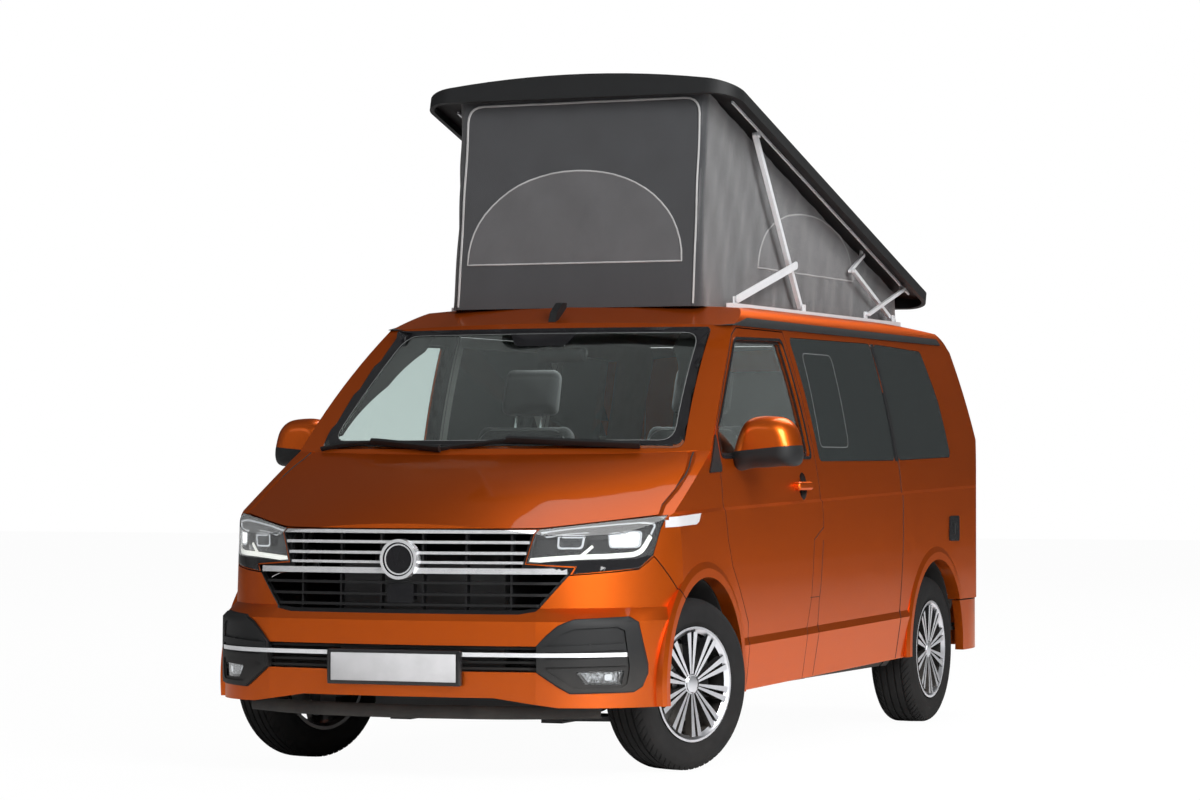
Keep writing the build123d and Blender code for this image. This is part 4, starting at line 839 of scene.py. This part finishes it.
def makeNose():
    # number plate: blank, in a black frame with a raised lip
    holder = block("plateHolder", (0, -2.457, 0.4285), (0.560, 0.022, 0.136), 0.006, segments=4)
    path = rounded([(x, -2.469, z) for x, z in (
        (-0.272, 0.369), (0.272, 0.369), (0.272, 0.488), (-0.272, 0.488))], 0.008)
    lip = ribbon("plateLip", path, 0.010, 0.003, closed=True, flat=(0, -1, 0))
    settle(joined("plateFrame", [holder, lip]), "gloss")
    settle(block("blankPlate", (0, -2.4695, 0.4285), (0.524, 0.003, 0.106), 0.0012, segments=2), "plate")
    skin = surfaceOf("bumper_trim")
    wing = ((-1.966, 0.957), (-1.964, 0.996), (-1.645, 1.008), (-1.672, 0.976), (-1.700, 0.966))
    for hand, sign in hands:
        label = hand.title()
        outer, inner, shelf, lower = (flipped(sign, points) for points in pod.values())
        settle(band("podFrame" + label, "front", outer, inner, skin, proud, 0.006, 0.03), "plastic")
        lay("podShelf" + label, "front", shelf, skin, proud, 0.009, "plastic")
        lay("podLower" + label, "front", lower, skin, proud, 0.007, "plastic")
        # blank bright strip on the wing, behind the headlamp
        lay("wingStrip" + label, hand, wing, bodySkin, proud, 0.003, "satin")
    noseSkin = surfaceOf("front_bumper", "bumper_trim", "grille", "bright_bars")
    for number, x in enumerate((-0.745, 0.745)):
        hit, normal = land(noseSkin, "front", x, 0.512)
        settle(rod(f"parkSensor{number}", hit + normal * 0.003, normal, 0.0105, 0.012, 32, 0.0015), "gloss")
    # low lip under the bumper
    hem = rounded((
        (-0.74, -2.190, 0.262), (-0.46, -2.330, 0.258), (0.0, -2.372, 0.256), (0.46, -2.330, 0.258),
        (0.74, -2.190, 0.262)), 0.2, False)
    settle(ribbon("chinLip", hem, 0.052, 0.012, flat=(0, -1, 0)), "plastic")
    cover = rounded(((-0.055, 0.672), (0.055, 0.672), (0.055, 0.744), (-0.055, 0.744)), 0.006)
    lay("radarCover", "front", cover, surfaceOf("grille"), 0.001, 0.003, "gloss")
    outer, inner = (
        [(radius * math.cos(a), badge["z"] + radius * math.sin(a))
         for a in [math.radians(10 * k) for k in range(36)]]
        for radius in (badge["ringOuter"], badge["ringInner"]))
    settle(band("badgeRing", "front", outer, inner, surfaceOf("bright_bars"), thin, 0.0012, 0.01), "chrome")


makeNose()
print("front made")


def pad(name, size, spot, lean, radius, crown, channels, taper=0.0, cuts=26):
    # a stuffed block: crowned faces, round edges, sides drawn in between corners, and sewn channels
    half, channelWidth, wrinkle = [length / 2 for length in size], 0.006, 0.0012
    clear()
    bpy.ops.mesh.primitive_cube_add(size=2, location=(0, 0, 0))
    piece = added(name)
    bpy.ops.object.mode_set(mode="EDIT")
    bpy.ops.mesh.select_all(action="SELECT")
    bpy.ops.mesh.subdivide(number_cuts=cuts)
    bpy.ops.object.mode_set(mode="OBJECT")
    turn = Matrix.Rotation(math.radians(lean), 3, "X")
    for vert in piece.data.vertices:
        p = [vert.co[i] * half[i] for i in range(3)]
        core = Vector([max(-half[i] + radius, min(half[i] - radius, p[i])) for i in range(3)])
        away = Vector(p) - core
        v = core + away.normalized() * radius if away.length > 1e-6 else Vector(p)
        a, b = v.x / half[0], v.y / half[1]
        v.x *= 1 - taper * max(0, b) ** 2 - 0.03 * (1 - b * b)
        v.y *= 1 - 0.02 * (1 - a * a)
        v.z += math.copysign(crown, v.z) * (1 - a ** 4) * (1 - b ** 4) * abs(v.z) / half[2]
        for axis, value, depth in channels:
            if v.z > 0:
                v.z -= depth * math.exp(-((v[axis] - value) / channelWidth) ** 2)
        v.z += wrinkle * math.sin(v.x * 41 + 1.7 * math.sin(v.y * 23)) * abs(v.z) / half[2]
        vert.co = turn @ v + Vector(spot)
    settle(modify(piece, "SUBSURF", levels=1, render_levels=1), "seat")
    return piece


def makeSeats():
    recline = 18
    sine, cosine = math.sin(math.radians(recline)), math.cos(math.radians(recline))
    up, forward, lean = Vector((0, sine, cosine)), Vector((0, -cosine, sine)), 90 - recline
    sewn = ((0, -0.150, 0.010), (0, 0.150, 0.010))
    for hand, sign in hands:
        label = hand.title()
        root = Vector((sign * 0.400, -0.440, 0.760))
        cushion = pad(
            "seatCushion" + label, (0.490, 0.510, 0.124), (sign * 0.400, -0.640, 0.764), 0, 0.045, 0.010,
            (*sewn, (1, 0.090, 0.008)))
        pad(
            "seatBackrest" + label, (0.482, 0.630, 0.104), root + up * 0.318, lean, 0.042, 0.008,
            (*sewn, (1, -0.120, 0.008), (1, 0.190, 0.008)), 0.10)
        pad(
            "seatHeadrest" + label, (0.264, 0.206, 0.084), root + up * 0.794, lean, 0.036, 0.006,
            ((1, 0.060, 0.004),), 0.06)
        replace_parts(cushion, "front_seats")
        posts = [
            rod("post", root + up * 0.662 + Vector((side, 0, 0)), up, 0.006, 0.075, 24, 0.001, 2)
            for side in (-0.06, 0.06)]
        settle(joined("headrestPosts" + label, posts), "chrome")
        edge = [
            root + up * h + Vector((x, 0, 0)) + forward * 0.046 for x, h in (
                (-0.222, 0.06), (-0.226, 0.48), (-0.190, 0.604), (0.190, 0.604),
                (0.226, 0.48), (0.222, 0.06))]
        settle(ribbon("seatPiping" + label, rounded(edge, 0.07, False), 0.007, 0.006, flat=forward), "piping")
    tilt = math.degrees(math.atan2(0.49, 0.09))
    bench = [
        pad(name, (1.250, depth, height), (-0.230, y, z), turn, radius, crown, (
            (0, -0.210, 0.010), (0, 0.210, 0.010), (1, 0.0, 0.006)), cuts=34)
        for name, depth, height, y, z, turn, radius, crown in (
            ("benchCushion", 0.440, 0.120, 1.122, 0.780, 0, 0.040, 0.010),
            ("benchBackrest", 0.490, 0.092, 1.427, 1.080, tilt, 0.038, 0.008))]
    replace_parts(bench[0], "rear_bench")
    chest = block("benchChest", (-0.230, 1.180, 0.577), (1.250, 0.540, 0.280), 0.012)
    rail = block("benchChestRail", (-0.230, 0.912, 0.700), (1.240, 0.012, 0.022), 0.003, segments=2)
    settle(joined("benchBase", [chest, rail]), "trim")


makeSeats()
print("seats made")


def makeCabin():
    # inner mirror on its foot, at the top of the windscreen
    body = block("innerMirrorBody", (0.075, -0.985, 1.652), (0.235, 0.030, 0.062), 0.012, (12, 0, -8), 4)
    foot = block("innerMirrorFoot", (0.040, -0.955, 1.702), (0.050, 0.050, 0.060), 0.014, (20, 0, 0), 4)
    settle(joined("innerMirror", [body, foot]), "gloss")
    for hand, sign in hands:
        grip = rounded([
            (sign * 0.800, -1.090, 1.500), (sign * 0.770, -1.085, 1.500), (sign * 0.745, -0.985, 1.610),
            (sign * 0.775, -0.975, 1.625)], 0.03, False)
        settle(ribbon("pillarGrip" + hand.title(), grip, 0.024, 0.020, flat=(-sign, 0, 0)), "lining")


makeCabin()


def makeTail():
    # blank rear plate in its recess, handle strip, high brake light, wiper and reflectors
    gateSkin, paneSkin, bumperSkin = (
        surfaceOf(*names)
        for names in (("tailgate", "tailgate_window"), ("tailgate_window",), ("rear_bumper",)))
    for name, box, bend, lift, thick, key in (
            ("rearPlateBed", (0.300, 0.955, 1.095), 0.02, thin, 0.003, "gloss"),
            ("rearPlateBlank", (0.262, 0.967, 1.073), 0.006, 0.0034, 0.003, "plate"),
            ("rearHandleStrip", (0.340, 1.104, 1.128), 0.008, thin, 0.012, "chrome"),
            ("highBrakeLight", (0.160, 1.722, 1.740), 0.005, thin, 0.006, "tailRed")):
        lay(name, "back", rounded(boxOf(*box), bend), gateSkin, lift, thick, key, "tailgate")
    pieces = [
        ribbon(name, rounded([(x, tailY, z) for x, z in points], 0.05, False),
               width, height, gateSkin, "back", 0.002)
        for name, points, width, height in (
            ("rearWiperArm", ((0.0, 1.182), (-0.150, 1.212), (-0.420, 1.262)), 0.018, 0.020),
            ("rearWiperBlade", ((-0.110, 1.226), (-0.250, 1.250), (-0.470, 1.300)), 0.010, 0.010))]
    settle(joined("rearWiper", pieces), "plastic", "tailgate")
    pane = ((-0.655, 1.690), (-0.735, 1.200), (0.735, 1.200), (0.655, 1.690))
    frameOf(
        "rearPaneFrit", "back", pane, (0.003, 0.03), (0.038, 0.05), paneSkin, film, 0.0006, "gloss", "tailgate")
    lines, foot, pitch, taper = 9, 1.262, 0.042, 0.16
    for k in range(lines):
        z = foot + k * pitch
        half = 0.665 - (z - 1.2) * taper
        line = ribbon(
            f"heaterLine{k}", [(-half, tailY, z), (half, tailY, z)], 0.0012, 0.0004,
            paneSkin, "back", film, 0.05)
        settle(line, "greyLine", "tailgate")
    for hand, sign in hands:
        lens = rounded(flipped(sign, ((0.640, 0.452), (0.640, 0.482), (0.800, 0.486), (0.800, 0.456))), 0.008)
        lay("rearReflector" + hand.title(), "back", lens, bumperSkin, thin, 0.004, "tailRed")
    lay("rearStepStrip", "back", boxOf(0.560, 0.535, 0.551), bumperSkin, thin, 0.004, "plastic")


def makeSlide():
    # sliding door on the right: its rail along the side, its handle, and a dark patch behind the handle as
    # painted shade of its recess
    rail = [(-flankX, 1.060, 1.120), (-flankX, 1.900, 1.120)]
    settle(ribbon("slideRail", rail, 0.030, 0.0020, bodySkin, "right", hair, 0.03), "under")
    # painted shade of the handle recess
    cup = rounded(((0.010, 1.075), (0.010, 1.145), (0.130, 1.145), (0.130, 1.075)), 0.03)
    lay("slideCupShade", "right", cup, bodySkin, thin, 0.0015, "under")
    pull = [(-flankX, -0.010, 1.110), (-flankX, 0.160, 1.110)]
    settle(ribbon("slidePull", pull, 0.032, 0.030, bodySkin, "right", 0.004), "paint")


makeTail()
makeSlide()
print("rear made")


wheel = {
    "radius": 0.339, "width": 0.212, "rim": 0.226, "pitches": 66, "capRadius": 0.0325, "capOut": 0.0825,
    "boltCircle": 0.058, "boltOut": 0.050, "bolts": 5, "boltRadius": 0.0085, "discOut": 0.021,
    "discRadius": 0.157, "turnedOut": 0.02, "turnedRadius": 0.03, "facing": 0.55, "sipe": 0.0045,
    "skew": 1.12, "middleRib": 0.02, "outerRib": 0.0530, "treadFoot": 0.3270}
hubs = {
    joint["child"]: (Vector(joint["pos_m"]), Vector(joint["axis"]).normalized())
    for joint in frame["joints"] if joint["name"].startswith("wheel_")}


def wheelFrame(body):
    # hub, axle, the two directions across it, and the way out of the vehicle
    hub, axle = hubs[body]
    across = axle.cross(Vector((0, 0, 1))).normalized()
    return hub, axle, across, across.cross(axle).normalized(), axle if hub.x > 0 else -axle


def tyreProfile():
    # half section from the bead to the middle of the tread: offset along the axle, radius
    w, rim = wheel["width"] / 2, wheel["rim"]
    return [
        (0.0880, rim + 0.0005), (0.0915, rim + 0.006), (0.0935, rim + 0.012), (0.0975, rim + 0.016),
        (0.0985, rim + 0.020), (w - 0.0030, 0.2600), (w - 0.0012, 0.2685), (w - 0.0012, 0.2705),
        (w - 0.0004, 0.2790), (w - 0.0014, 0.2880), (w - 0.0040, 0.2975), (w - 0.0040, 0.2995),
        (w - 0.0085, 0.3080), (w - 0.0125, 0.3165), (w - 0.0170, 0.3225), (w - 0.0225, 0.3275),
        (w - 0.0290, 0.3320), (0.0700, 0.3352), (0.0620, 0.3374), (0.0540, 0.3380), (0.0525, 0.3305),
        (0.0465, 0.3305), (0.0450, 0.3382), (0.0220, 0.3387), (0.0205, 0.3312),
        (0.0145, 0.3312), (0.0130, 0.3388)]


def makeTyre3d(body, name):
    half = tyreProfile()
    section = half + [(-x, r) for x, r in reversed(half)]
    pitches = wheel["pitches"]
    clear()
    bpy.ops.mesh.primitive_torus_add(
        major_segments=pitches * 3, minor_segments=len(section), major_radius=0.3, minor_radius=0.04)
    piece = added(name)
    hub, axle, across, up, _ = wheelFrame(body)
    # in each pitch the foot of a sipe is at 0, and its block runs from 0.16 to 0.88
    shares = (0.0, 0.16, 0.88)
    for index, vert in enumerate(piece.data.vertices):
        ring, spot = divmod(index, len(section))
        x, radius = section[spot]
        pitch, part = divmod(ring, 3)
        skew = abs(x) * wheel["skew"] if abs(x) > wheel["middleRib"] else 0.0
        angle = (pitch + shares[part]) / pitches * 2 * math.pi + skew / wheel["radius"]
        if part == 0 and radius > wheel["treadFoot"] and abs(x) > wheel["outerRib"]:
            radius -= wheel["sipe"]
        vert.co = hub + axle * x + across * (math.cos(angle) * radius) + up * (math.sin(angle) * radius)
    made = bmesh.new()
    made.from_mesh(piece.data)
    bmesh.ops.recalc_face_normals(made, faces=made.faces)
    made.to_mesh(piece.data)
    made.free()
    return settle(piece, "tyre", body, 38.0)


def dressRim(body, node):
    # turned faces bright, pockets black, brake disc plain steel
    mesh = nodes[node].data
    wear(mesh, "wheelBlack", "wheel", "disc")
    pocket, turned, disc = range(3)
    hub, _, _, _, out = wheelFrame(body)
    for face in mesh.polygons:
        away = face.center - hub
        depth = away.dot(out)
        radius = (away - out * depth).length
        facing = face.normal.dot(out)
        bright = facing > wheel["facing"] and depth > wheel["turnedOut"] and radius > wheel["turnedRadius"]
        if depth < wheel["discOut"] and radius < wheel["discRadius"]:
            face.material_index = disc
        else:
            face.material_index = turned if bright else pocket


def makeWheelDetail(body, name):
    hub, _, across, up, out = wheelFrame(body)
    parts = [rod(name, hub + out * wheel["capOut"], out, wheel["capRadius"], 0.008, 48, 0.003)]
    for i in range(wheel["bolts"]):
        angle = 2 * math.pi * (i + 0.5) / wheel["bolts"]
        spot = hub + out * wheel["boltOut"] + (
            across * math.cos(angle) + up * math.sin(angle)) * wheel["boltCircle"]
        parts.append(rod("bolt", spot, out, wheel["boltRadius"], 0.014, 6, 0.0015, 2))
    settle(joined(name, parts), "wheel", body, 30.0)


for end in ("front", "rear"):
    for hand, _ in hands:
        corner, label = f"{end}_{hand}", end.title() + hand.title()
        body = "wheel_" + corner
        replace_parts(makeTyre3d(body, "treadedTyre" + label), "tyre_" + corner)
        dressRim(body, "rim_" + corner)
        makeWheelDetail(body, "wheelCap" + label)
print("wheels dressed")


tent = {
    "half": 0.578, "frontFoot": -0.692, "frontHead": -0.608, "backFoot": 2.046, "backHead": 2.026,
    "foot": 1.864, "frontTop": 2.775, "backTop": 2.022, "corner": 0.05, "steps": 26, "crease": 2.055}


def tentHeight(y):
    # top edge of the cloth under the sloping shell
    share = (y - tent["frontHead"]) / (tent["backHead"] - tent["frontHead"])
    return tent["frontTop"] + (tent["backTop"] - tent["frontTop"]) * share


def tentLoop():
    # plan of the wall at the foot: x, and the share of the way from front to back
    half, corner = tent["half"], tent["corner"]
    length = tent["backFoot"] - tent["frontFoot"]
    spots = []
    for cx, cy, start in (
            (half - corner, corner, -90), (half - corner, length - corner, 0),
            (-half + corner, length - corner, 90), (-half + corner, corner, 180)):
        for k in range(7):
            angle = math.radians(start + 15 * k)
            spots.append(Vector((cx + math.cos(angle) * corner, cy + math.sin(angle) * corner, 0)))
    dense = resample(spots, 0.034, closed=True)
    return [(p.x, p.y / length) for p in dense]


def tentPoint(x, share, rise):
    # a point of the wall: rise runs from 0 at the foot to 1 under the shell
    foot = tent["frontFoot"] + (tent["backFoot"] - tent["frontFoot"]) * share
    head = tent["frontHead"] + (tent["backHead"] - tent["frontHead"]) * share
    top = tentHeight(head)
    return Vector((x, foot + (head - foot) * rise, tent["foot"] + (top - tent["foot"]) * rise))


def cloth(x, y, z):
    # how far the stretched cloth stands in or out: broad sag, tension lines and small creases
    if abs(x) < tent["half"] - 0.02:
        across, along = x / tent["half"], x
    else:
        across, along = 0.0, y
    level = (z - tent["foot"]) / 0.9
    sag = -0.010 * math.sin(math.pi * min(1, max(0, level))) * (1 - across ** 4)
    pull = 0.0022 * math.sin(along * 23 + z * 9 + math.sin(z * 5) * 1.6)
    pull += 0.0014 * math.sin(along * 47 - z * 21 + 0.7)
    folds = 0.0030 * math.exp(-abs(z - tent["foot"] - 0.02) / 0.05) * math.sin(
        along * 60 + 1.3 * math.sin(along * 9))
    crease = -0.004 * math.exp(-((z - tent["crease"]) / 0.006) ** 2)
    return sag + pull + folds + crease


def makeTent():
    loop = tentLoop()
    clear()
    bpy.ops.mesh.primitive_cylinder_add(vertices=len(loop), radius=1, depth=1, end_fill_type="NOTHING")
    piece = added("tentWall")
    made = bmesh.new()
    made.from_mesh(piece.data)
    sides = [e for e in made.edges if abs(e.verts[0].co.z - e.verts[1].co.z) > 0.5]
    bmesh.ops.subdivide_edges(made, edges=sides, cuts=tent["steps"] - 1, use_grid_fill=True)
    count = len(loop)
    for vert in made.verts:
        turn = math.atan2(vert.co.x, vert.co.y) % (2 * math.pi)
        spot = round(turn / (2 * math.pi) * count) % count
        rise = vert.co.z + 0.5
        x, share = loop[spot]
        point = tentPoint(x, share, rise)
        near, far = loop[spot - 1], loop[(spot + 1) % count]
        edge = tentPoint(far[0], far[1], rise) - tentPoint(near[0], near[1], rise)
        out = edge.cross(Vector((0, 0, 1))).normalized()
        vert.co = point + out * (cloth(point.x, point.y, point.z) - 0.003)
    bmesh.ops.recalc_face_normals(made, faces=made.faces)
    if sum(f.normal.dot(f.calc_center_median() - Vector((0, 0.7, 2.2))) for f in made.faces) < 0:
        bmesh.ops.reverse_faces(made, faces=made.faces)
    made.to_mesh(piece.data)
    made.free()
    area = sum(p.area for p in piece.data.polygons)
    settle(modify(piece, "SOLIDIFY", thickness=0.0016, offset=-1), "tent", smooth=40.0)
    perimeter = sum(
        (tentPoint(*second, 0) - tentPoint(*first, 0)).length
        for first, second in zip(loop, loop[1:] + loop[:1]))
    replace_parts(piece, "tent")
    return piece, area, (perimeter, tent["frontTop"] - tent["foot"] + 0.01)


tentWall, tentArea, tentCut = makeTent()
tentSkin = skinOf(tentWall.data)


def arch(foot, left, right, top):
    # a half-moon outline: straight foot and a round top, as (along, height) pairs
    middle, half = (left + right) / 2, (right - left) / 2
    rim, steps, power = [], 28, 2.1
    for k in range(steps + 1):
        angle = math.pi * k / steps
        c, s = math.cos(angle), math.sin(angle)
        along = middle - math.copysign(abs(c) ** (2 / power), c) * half
        rim.append((along, foot + (top - foot) * abs(s) ** (2 / power)))
    return rim


# which way each face of the tent looks, and how far out its cloth is where a line of sight misses it
tentFace = {
    "front": (Vector((0, -1, 0)), 0.66), "left": (Vector((1, 0, 0)), tent["half"]),
    "right": (Vector((-1, 0, 0)), tent["half"])}


def onTent(face, along, height):
    # a point of the cloth seen straight on
    out, reach = tentFace[face]
    spot = Vector((along, 0, height)) if face == "front" else Vector((0, along, height))
    return tentSkin.ray_cast(spot + out * 3, -out)[0] or spot + out * reach


def tentPipe(name, face, outline, width, height, closed):
    points = [onTent(face, a, h) for a, h in outline]
    pipe = ribbon(name, points, width, height, tentSkin, face, step=0.016, closed=closed)
    return settle(pipe, "piping", smooth=40.0)


def makeWindow(name, face, outline):
    # see-through mesh panel, just proud of the cloth, on its own grid
    out = tentFace[face][0]
    left, right = min(a for a, h in outline), max(a for a, h in outline)
    low = min(h for a, h in outline)
    made = bmesh.new()
    columns, rows = 40, 18
    grid = {}
    for i in range(columns + 1):
        along = left + (right - left) * i / columns
        tops = []
        for (a1, h1), (a2, h2) in zip(outline, outline[1:]):
            if min(a1, a2) <= along <= max(a1, a2) and abs(a2 - a1) > 1e-9:
                tops.append(h1 + (h2 - h1) * (along - a1) / (a2 - a1))
        top = max(tops) if tops else low
        for j in range(rows + 1):
            height = low + (top - low) * j / rows
            grid[i, j] = made.verts.new(onTent(face, along, height) + out * 0.0012)
    for i in range(columns):
        for j in range(rows):
            made.faces.new((grid[i, j], grid[i + 1, j], grid[i + 1, j + 1], grid[i, j + 1]))
    bmesh.ops.remove_doubles(made, verts=made.verts, dist=0.0002)
    bmesh.ops.dissolve_degenerate(made, edges=made.edges, dist=0.0002)
    for f in made.faces:
        f.normal_update()
        if f.normal.dot(out) < 0:
            f.normal_flip()
    return settle(modify(pieceOf(name, made), "SOLIDIFY", thickness=0.001, offset=1), "tentMesh", smooth=40.0)


def makeTentTrim():
    trims = []
    for label, face, outline in (
            ("Front", "front", arch(2.056, -0.500, 0.484, 2.452)),
            ("SideLeft", "left", arch(2.060, 0.050, 1.360, 2.330)),
            ("SideRight", "right", arch(2.060, 0.050, 1.360, 2.330))):
        trims.append(makeWindow("tentWindow" + label, face, outline))
        trims.append(tentPipe("tentPiping" + label, face, outline, 0.007, 0.0035, True))
    hem = rounded(
        ((-0.537, 1.0, 1.875), (-0.519, 1.0, 2.742), (0.545, 1.0, 2.748), (0.541, 1.0, 1.875)), 0.07, False)
    trims.append(tentPipe("tentFrontPiping", "front", [(p.x, p.z) for p in hem], 0.009, 0.005, False))
    return trims


tentTrim = makeTentTrim()
for piece in [tentWall] + tentTrim:
    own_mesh(piece)
print("tent made")


studio = {
    "camera": (6.121, -15.371, 1.188), "turn": (91.0275, 0.0, 22.221), "lens": 112.5,
    "floorSize": 90.0, "floorZ": -0.001, "floorShare": 0.97, "world": 0.27, "behindFrom": 0.15,
    "behindRise": 2.5, "behindCap": 0.70,
    # place, turn in degrees, size and power of each lamp
    "lamps": {
        "keyLight": ((8.5, -7.0, 6.5), (62, 0, 52), 6.0, 2500),
        "noseLight": ((-5.0, -11.0, 6.5), (58, 0, -26), 6.0, 130),
        "bonnetLight": ((0.9, 5.4, 8.6), (-40, 0, 0), 6.2, 360),
        "backLight": ((1.0, 15.0, 14.0), (-49, 0, 0), 10.0, 1500),
        "cabinLight": ((0.0, 0.10, 1.74), (0, 0, 0), 0.8, 9)}}


def seenDirectly(tree):
    # one for what the camera sees, straight or through glass alone
    paths = addNode(tree, "LightPath", {})
    clearWay = mathNode(tree, "LESS_THAN", paths["Diffuse Depth"], 0.5)
    through = mathNode(tree, "MULTIPLY", paths["Is Transmission Ray"], clearWay)
    return mathNode(tree, "MAXIMUM", paths["Is Camera Ray"], through)


def whiteFor(tree, shader, strength):
    # the surface shows plain white where it is seen directly, and its own shader to the rest
    seen = mathNode(tree, "MULTIPLY", seenDirectly(tree), strength)
    inputs = {0: seen, 1: shader.outputs[0], 2: addNode(tree, "Emission", {})[0]}
    tree.links.new(addNode(tree, "MixShader", inputs)[0], tree.nodes["Material Output"].inputs["Surface"])


def aimed(name, data, spot, turn):
    thing = linked(name, data)
    thing.location = spot
    thing.rotation_euler = [math.radians(a) for a in turn]
    return thing


def makeStudio():
    grey = (0.80, 0.80, 0.80)
    made, tree, shader = material("studioFloor", grey, 0.75)
    varied(tree, shader, grey, 0.02, 1.5)
    whiteFor(tree, shader, studio["floorShare"])
    clear()
    bpy.ops.mesh.primitive_plane_add(size=studio["floorSize"], location=(0, 0, studio["floorZ"]))
    floor = added("studioFloor")
    floor.data.materials.append(made)
    world = bpy.data.worlds.new("studioWorld")
    bpy.context.scene.world = world
    world.use_nodes = True
    tree = world.node_tree
    plain = tree.nodes["Background"]
    plain.inputs[0].default_value = (1, 1, 1, 1)
    # pale all round except behind the object, which its flank mirrors
    depth = addNode(tree, "SeparateXYZ", {0: addNode(tree, "TexCoord", {})["Generated"]})[1]
    behind = mathNode(tree, "SUBTRACT", depth, studio["behindFrom"])
    behind = mathNode(tree, "MAXIMUM", mathNode(tree, "MULTIPLY", behind, studio["behindRise"]), 0.0)
    behind = mathNode(tree, "MINIMUM", behind, studio["behindCap"])
    pale = mathNode(tree, "MULTIPLY", mathNode(tree, "SUBTRACT", 1.0, behind), studio["world"])
    tree.links.new(mathNode(tree, "MAXIMUM", seenDirectly(tree), pale), plain.inputs[1])
    for name, (spot, turn, size, power) in studio["lamps"].items():
        data = bpy.data.lights.new(name, "AREA")
        data.size = size
        data.energy = power
        lamp = aimed(name, data, spot, turn)
        lamp.visible_camera = lamp.visible_transmission = False
    data = bpy.data.cameras.new("viewCamera")
    data.lens = studio["lens"]
    data.sensor_width = 36.0
    bpy.context.scene.camera = aimed("viewCamera", data, studio["camera"], studio["turn"])
    bpy.context.scene.view_settings.view_transform = "Standard"


makeStudio()
print("studio made")
